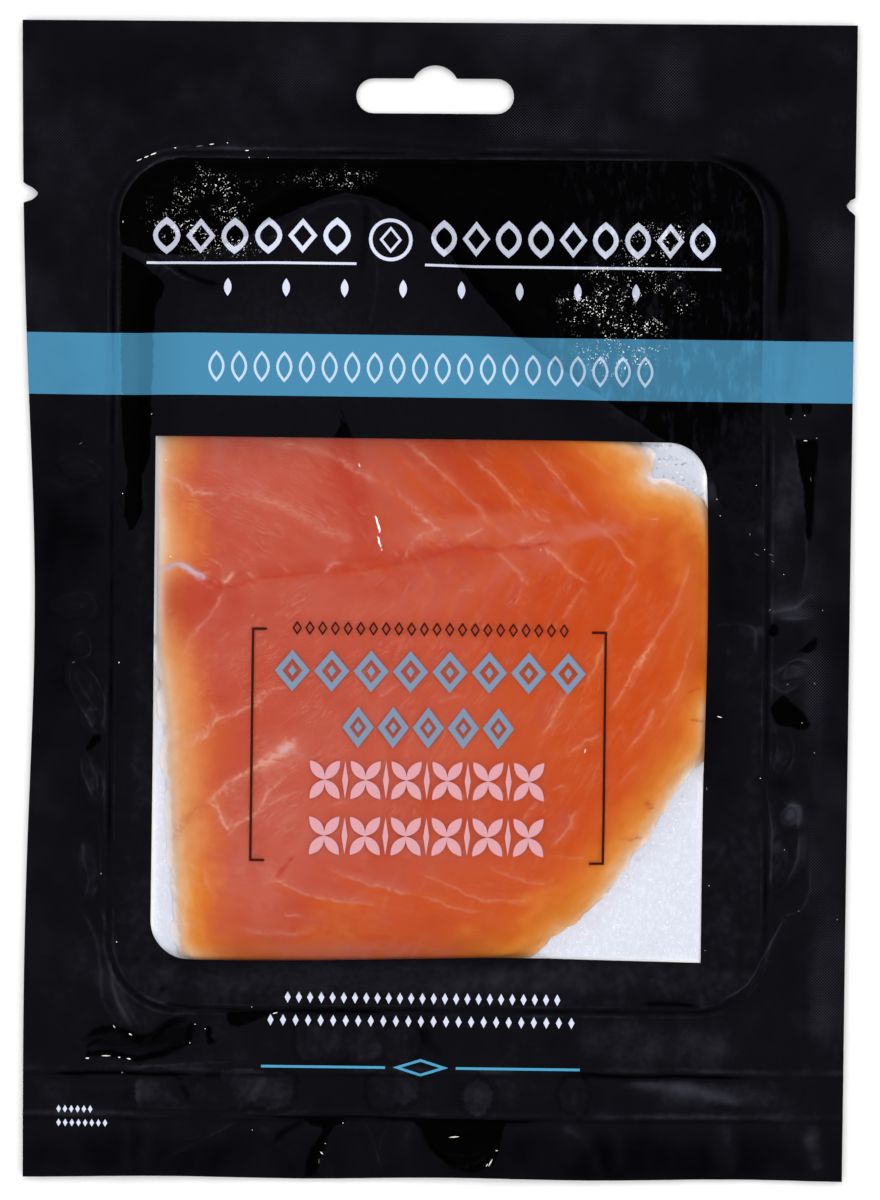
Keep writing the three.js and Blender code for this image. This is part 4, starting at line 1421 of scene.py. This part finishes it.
def clearMaterial():
    finish = Finish("clearFilm")
    cover = finish.field("cover")
    facing = finish.node("LayerWeight", {}, {"Blend": 0.5}, out="Facing")
    gloss = clearLook["gloss"] + clearLook["slantGloss"] * facing ** 5
    # painted reflection mixed into the clear film's colour
    haze = finish.field("haze") * clearLook["hazeShare"] * finish.noise(14, 2).between(0.2, 0.6)
    solid = (gloss + haze).atLeast(cover)
    mirror = gloss / (gloss + haze) * (1 - cover)
    base = finish.blend(cover, finish.blend(mirror, colour(clearLook["haze"]), (1, 1, 1, 1)),
                        finish.field("ink", "Color"))
    normal = finish.bump(finish.noise(2.2, 3), clearLook["rippleDepth"])
    sheet = finish.node("BsdfPrincipled", {}, {
        "Base Color": base, "Metallic": mirror, "Roughness": clearLook["roughness"] + 0.25 * cover,
        "Specular IOR Level": filmLook["gloss"], "Normal": normal})
    through = finish.node("BsdfTransparent")
    shader = finish.node("MixShader", {}, {0: solid, 1: through, 2: sheet})
    return finish.close(shader)


def makeWindowFilm():
    marks = windowPrint()
    flat, faces, middle = plan(windowLoop(), [], [m[0] for m in marks], window["pitch"])
    x, y = flat[:, 0], flat[:, 1]
    top = filmHeight(x, y)
    made, source = closedSheet("windowFilm", flat, faces, top, top - web)
    printAndGlintFields(made, marks, middle, len(made.data.polygons))
    # where the painted reflection lies: over the fish, strongest at the left
    haze = smooth(4, 16, insideFish(x, y)) * smooth(34, -4, x + 0.35 * y)
    addFields(made, source, {"haze": haze})
    finishPiece(made, clearMaterial(), "clear_film", "window_film")


fishLook = {
    "red": "#ae442d",
    "orange": "#b44104",
    "deep": "#a62907",
    "milk": "#b9604f",
    "fat": "#cf9482",
    "dark": "#ab280f",
    "peach": "#cda189",
    "rimRun": 16,  # where the stops below end
    "rimStops": [(0, "#dedcdf"), (0.7, "#e3d8d6"), (1.3, "#e3c1a6"), (2.2, "#e1b085"), (3.1, "#df9e64"),
                 (4, "#da8c45"), (5, "#d37d32"), (7, "#ca6a1f"), (9, "#c35f1b"), (13, "#bc5212")],
    "border": "#f6f2f2",  # where light comes in under the frame at the left
    "borderRun": 0.9,
    "glow": 0.4,  # strength of the painted glow along the frame's edges
    "glowRun": 0.4,
    "gold": "#d07a30",
    "fatGold": "#cd8a60",
    "tendon": "#bb9ca3",
    "roughness": 0.42,
    "gloss": 0.03,
    "fibreDepth": 0.12,
}

# how strongly the frame shades what lies under it, and over what distance
frameShadow = {
    "top": 0.38,
    "topFade": 0.3,  # less of it towards the right
    "topRun": 2.6,
    "bottom": 0.5,
    "bottomRun": 3.8,
    "right": 0.1,
    "rightRun": 0.8,
}

# fat lines and cuts: strength, width, points
fatLines = [
    (1.1, 1.2, [(-53.5, 24.5), (-49.5, 22.5), (-47.5, 21), (-43.5, 21)]),
    (0.35, 0.8, [(-42.5, 19.5), (-39.5, 21)]),
    (0.45, 2.2, [(-39.5, 21), (-34, 19.5), (-26.5, 16.5), (-21.5, 13.5), (-16.5, 12.5)]),
    (0.4, 1.2, [(-16.5, 12.5), (-19, 11.5)]),
    (0.5, 1.8, [(-34.5, 31), (-27, 30), (-21, 28.5), (-15, 25), (-10, 23)]),
    (0.3, 1.4, [(-11.5, 22.5), (-4.5, 18.5), (-1.5, 15)]),
    (0.9, 0.9, [(-6.5, 31.5), (-1, 27), (3.5, 22.5)]),
    (0.5, 0.7, [(3.5, 22.5), (8, 18.5), (10, 15.5)]),
    (0.8, 0.8, [(6, 29), (11.5, 24), (14.5, 21), (17, 18)]),
    (0.5, 0.8, [(19, 17.5), (22.5, 15.5)]),
    (0.75, 0.7, [(17.5, 31.5), (22.5, 26), (28, 19.5), (30, 17)]),
    (0.35, 0.8, [(26.5, 31.5), (32, 26.5), (35.5, 24.5)]),
    (0.6, 1.8, [(32, 16), (33, 16)]),
    (0.6, 1.2, [(-4.5, 17.5), (-0.5, 14.5), (1.5, 14.5)]),
    (0.6, 1.0, [(1.5, 14.5), (-3.5, 12.5), (-7, 7.5)]),
    (0.4, 0.7, [(-44.5, 8.5), (-42, 6)]),
    (1.3, 1.0, [(-42, 3), (-39.5, 5.5)]),
    (0.5, 1.2, [(-41.5, 2), (-44.5, -3), (-47.5, -6.5), (-50, -11)]),
    (0.6, 1.1, [(-37.5, 5.5), (-35.5, 4)]),
    (0.35, 0.6, [(-31, 7.5), (-29, 5)]),
    (0.9, 1.0, [(-22, 5.5), (-20.5, 7), (-19, 7.5)]),
    (0.7, 0.8, [(4.5, 11.5), (7.5, 13.5), (9.5, 14.5)]),
    (0.7, 0.8, [(15.5, 11.5), (19.5, 13), (21, 14)]),
    (0.55, 1.0, [(11.5, 10), (16, 6), (17.5, 4), (19.5, 4)]),
    (0.3, 1.0, [(17, 3), (15.5, -1)]),
    (0.8, 0.9, [(21, 11), (25.5, 7), (28.5, 4.5), (30, 4)]),
    (0.5, 1.0, [(29, 3.5), (26, -1.5), (24.5, -3.5)]),
    (0.3, 0.9, [(22, -8), (20, -12)]),
    (0.7, 0.8, [(32, 14), (34.5, 12.5), (37, 9), (39.5, 6)]),
    (0.35, 0.7, [(36, 13.5), (39.5, 12)]),
    (0.6, 1.0, [(39.5, 5), (38.5, 2.5), (36, -1), (34, -6.5)]),
    (0.65, 0.9, [(34, -6.5), (30.5, -14), (29.5, -16.5)]),
    (0.8, 0.9, [(26.5, -17.5), (24.5, -20), (22.5, -24.5), (20.5, -26)]),
    (0.7, 0.8, [(50, 8), (47, -0.5), (43, -7.5)]),
    (1.0, 1.4, [(43, -7.5), (41, -10.5), (39, -13.5)]),
    (0.75, 0.8, [(39, -13.5), (36.5, -18), (34.5, -21)]),
    (0.7, 0.8, [(51, -7), (49.5, -10.5), (48, -15.5), (45, -19.5)]),
    (0.8, 0.9, [(43, -20.5), (42, -23.5), (38.5, -28.5)]),
    (0.35, 0.6, [(28, -22), (31.5, -19.5)]),
    (0.4, 0.8, [(4, 2), (7.5, 2)]),
    (0.7, 0.9, [(33, -26), (29.5, -27.5), (26.5, -29.5)]),
    (0.35, 0.9, [(40, -31.5), (36, -36)]),
    (0.5, 0.7, [(26, -35.5), (23.5, -37)]),
    (0.5, 0.9, [(19.5, -40), (17, -43)]),
    (0.7, 0.8, [(28, -41), (25.5, -45.5), (23, -48.5)]),
    (0.35, 0.7, [(23, -50), (30, -50.5)]),
    (0.5, 0.7, [(10, -52), (16, -54.5), (19.5, -55.5), (23.5, -55)]),
    (0.55, 0.7, [(-3, -53.5), (4, -56.5), (8.5, -58.5), (12, -59), (19.5, -58.5)]),
    (0.5, 0.8, [(-3, -58), (4.5, -60.5), (9, -61)]),
    (0.5, 0.9, [(-36.5, -20), (-32, -17.5), (-29, -17)]),
    (0.9, 1.1, [(-51.5, -28.5), (-48, -28.5), (-45, -26.5), (-42.5, -23.5), (-38, -22), (-32.5, -18.5)]),
    (0.6, 0.6, [(-44.5, -20.5), (-42.5, -23.5)]),
    (1.9, 2.4, [(-27.5, -27.3), (-31, -30), (-35.5, -33)]),
    (1.0, 1.3, [(-34, -32), (-36.5, -33.5), (-40.5, -36), (-44.5, -40)]),
    (1.2, 1.0, [(-44.5, -40), (-42.5, -41.5), (-41.5, -44), (-40, -45.5)]),
    (1.2, 0.9, [(-40, -45.5), (-37.5, -43.5), (-35, -42)]),
    (0.9, 0.9, [(-35, -42), (-33.5, -39), (-30, -35)]),
    (0.5, 0.8, [(-35, -42), (-30, -39), (-26.5, -37.5)]),
    (0.5, 0.9, [(-45.5, -52.5), (-45, -55), (-43, -59.5)]),
    (0.6, 0.8, [(-33.5, -55.5), (-31, -55.5), (-23, -58.5), (-11.5, -60)]),
    (0.6, 0.8, [(-20.5, -53), (-15.5, -55), (-10.5, -56.5), (-4, -58)]),
    (0.4, 0.8, [(-39, -54), (-37.5, -52.5)]),
    (0.4, 1.2, [(-38, -64.5), (-34, -65.5), (-26, -65.5), (-23, -64)]),
    (0.6, 0.6, [(-29.5, -62), (-26, -62)]),
    (0.4, 0.8, [(-20.5, -40.5), (-17, -39.5)]),
    (0.5, 0.8, [(-11, -19), (-8, -17)]),
    (0.4, 0.8, [(0.5, -20), (5, -18.5)]),
]

cutLines = [
    (0.9, 0.45, [(-27.5, -50.5), (-29.5, -52.5), (-31, -55)]),
    (0.85, 0.32, [(-48, 5), (-41, 2.5), (-35.5, 4), (-28.5, 5), (-23, 5.5)]),
    (0.7, 0.45, [(-22, 5.5), (-12, 6.5), (-2.5, 8.5)]),
    (1.0, 0.35, [(-2.5, 8.5), (1.5, 9.5), (5, 10.7), (9.9, 10.2), (13.5, 10.6)]),
    (0.95, 0.35, [(13.5, 10.6), (17.5, 10.7), (21.1, 11.2), (23, 12.3)]),
    (0.35, 1.0, [(-44.5, -40), (-47.5, -42), (-52, -47.5)]),
    (0.35, 2.0, [(50, 14), (50.5, 11), (50, 8.5)]),
    (0.3, 1.0, [(-20.8, 33), (-19.6, 26), (-17.5, 18)]),
    (0.35, 0.5, [(-30, 36), (-27, 30), (-20, 22)]),
    (0.6, 0.3, [(50, -23), (53, -23.5)]),
    (0.6, 0.3, [(36.5, -47), (41, -46.5)]),
    (0.6, 0.3, [(49.3, -17.6), (52.5, -16.4)]),
    (0.55, 0.9, [(41.2, -39), (43, -40.6)]),
]

tendonLines = [
    (0.8, 0.4, [(-54.8, 5.9), (-52.7, 6.3), (-50.9, 6.9), (-49.2, 6.6)]),
    (0.9, 0.5, [(-50.6, 6.8), (-48.8, 6.1), (-47, 4.9), (-45, 4)]),
    (0.5, 0.6, [(-28.5, -28.8), (-30.5, -30)]),
]

# soft tones of the flesh: strength, x, y, half width, half height, degrees
deepPlaces = [
    # the first three are painted shade along the film's fold over the fish
    (0.75, -18.5, 31, 2.8, 8, -4),
    (0.6, -15.5, 21, 2.6, 7, 8),
    (0.4, -14, 12, 4, 4, 0),
    (0.5, 2, 30, 14, 6, -40),
    (0.45, -24, 6.5, 17, 1.4, 6),
    (0.45, 0, 9.5, 10, 1.6, 8),
    (0.35, -41.5, 0, 4, 4.5, 0),
    (0.4, 8, 18.5, 7, 1.6, 0),
    (0.3, -8, 5, 22, 4, 8),
    (0.4, -35, -48, 3, 4, 0),
    (0.45, -29, -60, 4, 2.5, 0),
    (0.1, -50, 0, 4, 5, 0),
    (0.35, -44, -3, 7, 6, 0),
    (0.25, 20, -2, 14, 8, 20),
    (0.25, 10, -40, 16, 8, 0),
    (0.5, 50, 12.5, 1.6, 4.5, 20),
    (0.4, 43, 6.4, 2.4, 1.3, -50),
    (0.4, 48.5, 0, 1.5, 3.5, 20),
    (0.35, -20, 20, 6, 4, -20),
    (0.35, 40.5, 21, 2.5, 1.2, 20),
]
goldPlaces = [
    (0.4, 6.5, -65, 2.6, 1.4, 0),
    (0.9, 20.6, -61.8, 4.3, 1.6, 20),
    (0.9, 23, -58, 5.5, 1.9, 10),
    (1.0, 18.8, -67.2, 3, 1.9, 30),
    (0.8, 31.6, -54.9, 3, 3, 0),
    (0.8, 38.9, -41.3, 3.7, 2.6, 40),
    (0.6, 10.8, -68.6, 3.7, 2.5, 0),
    (0.15, -16.8, -62, 6.8, 4.3, 0),
    (0.15, -19.8, -66.4, 5, 2.5, 0),
    (0.4, 49.5, 7, 3.5, 9, 0),
    (0.8, -49, -50.6, 3.1, 5, 0),
    (0.6, -43.4, -54.2, 2.5, 3, 0),
    (0.6, -49.8, 14.4, 4.5, 7, 0),
    (0.5, -51.7, 28.4, 4.5, 4.5, 0),
    (0.15, 43.5, 10.4, 5, 5, 0),
]
milkPlaces = [
    (0.65, -18, -70, 28, 2.6, 0),
    (0.35, -37, -57, 9, 8, 0),
    (0.45, 40.5, 20.4, 3, 1.6, 30),
    (0.25, -34, 24, 13, 9, -10),
    (0.4, -46, 32, 5, 6, 0),
    (0.4, 8, 14.5, 17, 2.4, 6),
    (0.2, -8, 2, 22, 5, 4),
    (0.15, -42, -8, 7, 7, 30),
    (0.55, 26, 13.4, 13, 1.7, 8),
    (0.4, -30, -30, 6, 4, 20),
    (0.3, -28, -44, 14, 9, 0),
    (0.15, -10, -28, 18, 8, 0),
    (0.25, 18, 8, 10, 3, 15),
]


def frayed(lines, apart, seed):
    # short side strokes like torn fibres, one every few millimetres
    chance = np.random.default_rng(seed)
    made = []
    for strength, width, line in lines:
        for _ in range(int(len(line) * 0.5 / apart)):
            k = chance.integers(1, len(line) - 1)
            heading = (line[k + 1] - line[k - 1]) / np.hypot(*(line[k + 1] - line[k - 1]))
            turn = chance.choice((-1, 1)) * chance.uniform(0.2, 0.7)
            heading = heading @ [[math.cos(turn), math.sin(turn)], [-math.sin(turn), math.cos(turn)]]
            ends = np.linspace(0, chance.uniform(0.7, 2.4), 4)
            made.append((chance.uniform(0.3, 0.6) * strength, 0.5 * width, line[k] + heading * ends[:, None]))
    return made


fatStrokes = curved(fatLines, 0.35, 0.5)
fatHairs = frayed(fatStrokes, 2.2, 5)
# the flesh is warmer on one side of the long lines than on the other
bandEdges = [(0.42 if line[0][0] > -8 else -0.42, 3.2, line) for strength, _, line in fatStrokes
             if strength >= 0.6 and len(line) > 9 and (line[0][0] > 10 or line[0][1] < -50)]
tendonStrokes = curved(tendonLines, 0.2, 0.4)
cutStrokes = curved(cutLines, 0.42, 0.4)


def muscleBands(x, y):
    # faint chevrons that meet along the middle line: the lines between bands, and the tone across each
    middle = 3.5 + 0.3 * np.maximum(x + 5, 0) * smooth(-5, 40, x)
    rise = y - middle
    slant = np.where(rise > 0, 0.8 * rise, -0.5 * rise)
    wave = x + slant + 1.6 * lumps(x / 13, y / 13, 51) + 0.5 * lumps(x / 3, y / 3, 52)
    wave /= np.where(rise > 0, 6.5, 5.5)
    phase = wave - np.floor(wave)
    clear = np.clip(0.25 + 0.9 * lumps(x / 6, y / 6, 53), 0, 1) * smooth(-38, -10, x)
    between = bell((wave - np.round(wave)) * 6, 0.3) * clear
    across = (phase - 0.5) * smooth(0, 0.1, phase) * smooth(-45, -10, x)
    return between, across


def frameDistances(finish):
    # how far inside the window's left, top, bottom and right edges a place is
    x, y, _ = finish.parts(finish.place())
    lean = math.radians(printTilt)
    middle, half = window["centre"], (window["width"] / 2, window["height"] / 2)
    top, bottom = middle[1] + half[1] - y - lean * x, y - middle[1] + half[1] + lean * x
    left = x - middle[0] + half[0] - window["leftInset"] + lean * (y - middle[1])
    return [d.atLeast(0) for d in (left, top, bottom, middle[0] + half[0] - x)]


def frameShade(finish):
    # the frame round the window shades what lies just under its edge
    _, top, bottom, right = frameDistances(finish)
    x = finish.parts(finish.place())[0]
    high = frameShadow["top"] - frameShadow["topFade"] * x.between(20, 34)
    shade = 1 - high * top.fading(frameShadow["topRun"])
    low = frameShadow["bottom"] * x.between(-50, -38) * (1 - x.between(8, 17))
    shade = shade * (1 - low * bottom.fading(frameShadow["bottomRun"]))
    return shade * (1 - frameShadow["right"] * right.fading(frameShadow["rightRun"]))


def threads(finish, across):
    # noise drawn out along lines of equal `across`: broad tones, and a few fine pale hairs
    x, y, _ = finish.parts(finish.place())
    spot = finish.node("CombineXYZ", {}, {0: across, 1: (x - y) * 0.12, 2: (x + y) * 0.12})
    broad = finish.node("TexNoise", {}, {"Vector": spot, "Scale": 0.55, "Detail": 3})
    return broad, finish.node("TexNoise", {}, {"Vector": spot, "Scale": 1.5, "Detail": 2}).ridge(0.5, 0.035)


def fleshFibres(finish):
    # the muscle runs one way above the middle line, another below it and a third along the foot
    x, y, _ = finish.parts(finish.place())
    bow = (x + 45) * (x + 45)
    waver = 1.5 * finish.noise(5, 2)
    back = threads(finish, y + 0.32 * x + 0.006 * bow + waver)
    belly = threads(finish, (y - 0.55 * x - 0.0065 * bow) * 0.8 + waver)
    foot = threads(finish, y + 0.22 * x + waver)
    above = (y - 0.13 * x - 1.4 * waver).between(4.5, 6.5)
    below = (y + 0.1 * x).between(-48, -56)
    middle = (1 - above) * (1 - below)
    broad, fine = [back[k] * above + foot[k] * below + belly[k] * middle for k in range(2)]
    return broad, fine * finish.noise(5, 2).between(0.45, 0.65) * (1 - 0.55 * below)


def fishMaterial():
    finish = Finish("fishFlesh")
    rim = finish.field("rim") + (finish.noise(2.6, 4, roughness=0.6) - 0.5) * 2.4
    fibre, hairs = fleshFibres(finish)
    orange = finish.field("orange") + (finish.noise(12, 3) - 0.5) * 0.8 + (fibre - 0.5) * 0.8
    flesh = finish.blend(orange.between(0.05, 0.95), colour(fishLook["red"]), colour(fishLook["orange"]))
    mottle = finish.noise(6, 4, roughness=0.6)
    deep = finish.field("deep") + mottle.between(0.5, 0.8) * 0.3
    flesh = finish.blend(deep.atMost(1).atLeast(0), flesh, colour(fishLook["deep"]))
    milk = finish.field("milk") * (0.4 + finish.noise(4, 4).between(0.3, 0.7))
    milk = milk + fibre.between(0.45, 0.75) * 0.1
    flesh = finish.blend(milk.atMost(1).atLeast(0), flesh, colour(fishLook["milk"]))
    gold = finish.field("gold") * (0.35 + 0.65 * finish.noise(2.2, 3).between(0.35, 0.6))
    flesh = finish.blend(gold.atMost(1), flesh, colour(fishLook["gold"]))
    run = fishLook["rimRun"]
    stops = [(place / run, colour(code)) for place, code in fishLook["rimStops"]]
    edge = finish.node("ValToRGB", {"stops": stops}, {0: rim / run})
    pale = (0.1 - orange).between(0, 0.6) * rim.between(13, 3)
    edge = finish.blend(pale * 0.25, edge, colour(fishLook["peach"]))
    fade = (rim + (finish.noise(7, 3) - 0.5) * 7).between(15, 5)
    flesh = finish.blend(fade, flesh, edge)
    breaks = finish.noise(0.8, 3).between(0.3, 0.62)
    fat = (finish.field("fat") * (0.3 + 0.7 * breaks) + 0.34 * hairs).atMost(1)
    warm = orange.between(0.3, 0.9) * 0.7
    fatTone = finish.blend(warm, colour(fishLook["fat"]), colour(fishLook["fatGold"]))
    flesh = finish.blend(fat * 0.7, flesh, fatTone)
    flesh = finish.blend(finish.field("tendon").atMost(1), flesh, colour(fishLook["tendon"]))
    cut = (finish.field("cut") * (0.2 + 0.8 * breaks)).atMost(0.8)
    flesh = finish.blend(cut, flesh, colour(fishLook["dark"]))
    left, _, _, right = frameDistances(finish)
    # painted light along the frame's left edge
    flesh = finish.blend(0.9 * left.fading(fishLook["borderRun"]), flesh, colour(fishLook["border"]))
    # painted light: the flesh glows a little along the frame's left and right edges, standing for light that
    # the tight clear film leads in under them
    glow = finish.blend(left.fading(fishLook["glowRun"]), (0, 0, 0, 1), colour(fishLook["border"]))
    glow = finish.blend(0.6 * right.fading(fishLook["glowRun"]), glow, colour(fishLook["gold"]))
    flesh = finish.dimmed(flesh, frameShade(finish))
    normal = finish.bump(fibre + mottle, fishLook["fibreDepth"])
    shader = finish.node("BsdfPrincipled", {}, {
        "Base Color": flesh, "Roughness": fishLook["roughness"] + 0.15 * mottle,
        "Specular IOR Level": fishLook["gloss"], "Normal": normal,
        "Emission Color": glow, "Emission Strength": fishLook["glow"]})
    return finish.close(shader)


def fishLoop():
    # the edge with a little raggedness
    loop = linkUp(fishEdge, 0.6)
    x, y = loop[:, 0], loop[:, 1]
    shift = 0.6 * lumps(x / 3.1, y / 3.1, 61) + 0.25 * lumps(x / 1.2, y / 1.2, 62)
    shift += 0.35 * lumps(x / 5.5, y / 5.5, 66)
    step = np.roll(loop, -1, axis=0) - np.roll(loop, 1, axis=0)
    normal = np.column_stack([step[:, 1], -step[:, 0]]) / np.hypot(*step.T)[:, None]
    return loop + normal * shift[:, None]


def fishTop(x, y, bottom, fat, cut):
    # rises from a thin rim to the full stack, always clear of the film over it
    inside = np.maximum(insideFish(x, y), 0)
    share = fishShape["rimShare"] + (1 - fishShape["rimShare"]) * quarterWave(inside / fishShape["rimRun"])
    full = fishHigh[2] - fishShape["swell"] - boardHigh[2] + swell(x, y)
    share *= 0.25 + 0.75 * smooth(-0.3, 2.2, inside)
    top = bottom + share * full
    top = top + fishShape["fatRelief"] * np.minimum(fat, 1) - fishShape["cutRelief"] * np.minimum(cut, 1)
    top = np.minimum(top, filmHeight(x, y) - web - fishShape["filmGap"])
    return np.maximum(top, bottom + fishShape["thinnest"])


def fleshOrange(x, y, across):
    # 0 the redder flesh, 1 the more orange
    orange = 0.5 + 0.02 * (x - 5) + 0.55 * across * smooth(-30, 10, y + 0.5 * x)
    orange += 0.5 * smooth(-46, -62, y) + 0.35 * softSpot(x, y, 8, 27, 9, longX=1.6)
    orange += 0.25 * softSpot(x, y, -36, -57, 11) - 0.4 * smooth(-66, -71, y) * smooth(5, -5, x)
    orange += strokes(bandEdges, x, y, leaning)
    return orange + 0.7 * strokes([(1, 1.3, line) for _, _, line in cutStrokes[1:3]], x, y)


def rimDistance(x, y):
    # how far each place is from the pale rim; the frame hides the rim at the left and the bottom
    inside = np.maximum(insideFish(x, y), 0)
    rim = inside - 0.7 * smooth(-48, -54, x) * smooth(0, 12, y)
    rim -= 2 * softSpot(x, y, 53.8, -21, 2.3, longY=1.6)
    rim *= 1 + 0.12 * lumps(x / 9, y / 7, 64) * smooth(1, 4, inside)
    rim *= 1 + 0.15 * softSpot(x, y, 47, -36, 12) - 0.25 * softSpot(x, y, 38, 31, 12)
    rim += (0.08 * np.maximum(inside - 6, 0) - 0.4) * smooth(-30, -42, x)
    foot = 6 * softSpot(x, y, -10, -76, 12, longX=3) * smooth(-48, -38, x)
    rim += 0.3 + 4.5 * softSpot(x, y, 54, 3, 10, longX=1.6) + foot
    left = 6 * bell(y + 1, 6) * smooth(1.2, 3, inside) + 2 * bell(y - 21, 4.5) + bell(y + 9, 4)
    rim += smooth(-36, -48, x) * left
    rim += 0.6 * smooth(5, 20, x) * smooth(-26, -34, y)
    return rim + (5 * smooth(46, 51, x) * bell(y + 12, 6) + 1.2 * softSpot(x, y, 28.5, -61, 4))


def makeFish():
    loop = fishLoop()
    extra = rowsAlong(fatStrokes + tendonStrokes + cutStrokes, (0, 0.25, -0.25, 0.55, -0.55, 1.2, -1.2), 0.16)
    extra = np.vstack([extra, rowsAlong(fatHairs, (0, 0.4, -0.4), 0.2)])
    away, _, _ = distanceTo(loop, extra[:, 0], extra[:, 1], closed=True)
    extra = extra[insideLoop(loop, extra[:, 0], extra[:, 1]) & (away > 0.5)]
    flat, faces, _ = plan(loop, [], [], fishShape["pitch"], extra)
    x, y = flat[:, 0], flat[:, 1]
    fat, cut = strokes(fatStrokes + fatHairs, x, y, fine), strokes(cutStrokes, x, y)
    faint, across = muscleBands(x, y)
    bottom = np.full(x.shape, boardHigh[2] + fishShape["boardGap"])
    top = fishTop(x, y, bottom, fat, cut)
    made, source = closedSheet("slicedFish", flat, faces, top, bottom, plainUnder=True)
    addFields(made, source, {
        "rim": rimDistance(x, y),
        "fat": 0.75 * fat + 0.3 * faint,
        "cut": cut,
        "orange": fleshOrange(x, y, across),
        "tendon": 1.4 * strokes(tendonStrokes, x, y),
        "deep": patches(deepPlaces, x, y),
        "milk": patches(milkPlaces, x, y),
        "gold": patches(goldPlaces, x, y),
    })
    finishPiece(made, fishMaterial(), "salmon", "salmon")


boardLook = {
    "base": "#cacedb",
    "fibre": "#dee2ef",
    "grey": "#bcc1ce",
    "speck": "#6a7082",
    "borderRun": 0.5,  # painted highlight, a white line along the window's edge
    "gloss": 0.3,
    "roughness": 0.5,
    "fibreDepth": 0.1,
    "grain": 0.03,  # slow unevenness
    "pitch": 2,  # of the board's mesh
}


def boardMaterial():
    finish = Finish("coatedBoard")
    fibre = finish.noise(0.7, 4, stretch=(1, 0.7, 1), roughness=0.65)
    cloud = finish.noise(9, 2)
    near = finish.field("specks")
    strands = fibre.between(0.42, 0.72) * 0.6
    base = finish.blend(strands, colour(boardLook["base"]), colour(boardLook["fibre"]))
    base = finish.blend(cloud.between(0.3, 0.8) * 0.2, base, colour(boardLook["grey"]))
    base = finish.blend(near * 0.7, base, colour(boardLook["grey"]))
    specks = finish.noise(0.9, 3).between(0.58, 0.72) * (0.05 + 0.7 * near)
    base = finish.blend(specks.atMost(0.7), base, colour(boardLook["speck"]))
    # painted glints: tiny white sparkles
    paintedSparkles = finish.noise(0.5, 1).between(0.68, 0.74)
    base = finish.blend(paintedSparkles * 0.5, base, (1, 1, 1, 1))
    # painted highlight along the window's edges
    left, top, bottom, right = frameDistances(finish)
    border = left.atMost(top).atMost(bottom).atMost(right).fading(boardLook["borderRun"])
    base = finish.blend(border, base, (1, 1, 1, 1))
    normal = finish.bump(fibre + finish.noise(1.6, 2) * near, boardLook["fibreDepth"])
    shader = finish.node("BsdfPrincipled", {}, {
        "Base Color": base, "Roughness": boardLook["roughness"] - 0.2 * fibre,
        "Specular IOR Level": boardLook["gloss"], "Normal": normal})
    return finish.close(shader)


def makeBoard():
    flat, faces, _ = plan(boardLoop(), [], [], boardLook["pitch"])
    x, y = flat[:, 0], flat[:, 1]
    grain = boardLook["grain"] * lumps(x / 11, y / 13, 31)
    made, source = closedSheet("carrierBoard", flat, faces, boardHigh[2] + grain, boardLow[2] + grain)
    # greyer, with more dark specks and a bumpier surface, strongest round (48, 28) and close to the fish at
    # its upper right
    beside = 0.5 * smooth(5, 0, -insideFish(x, y)) * smooth(-30, 10, x + y)
    addFields(made, source, {"specks": smooth(16, 10, np.hypot(x - 48, y - 28)) + beside})
    finishPiece(made, boardMaterial(), "carrier_board", "board")


addCamera()
addLights()
addFloor()
makeFrontFilm()
makeBackFilm()
makeWindowFilm()
makeFish()
makeBoard()

bpy.context.scene.view_settings.view_transform = "Standard"
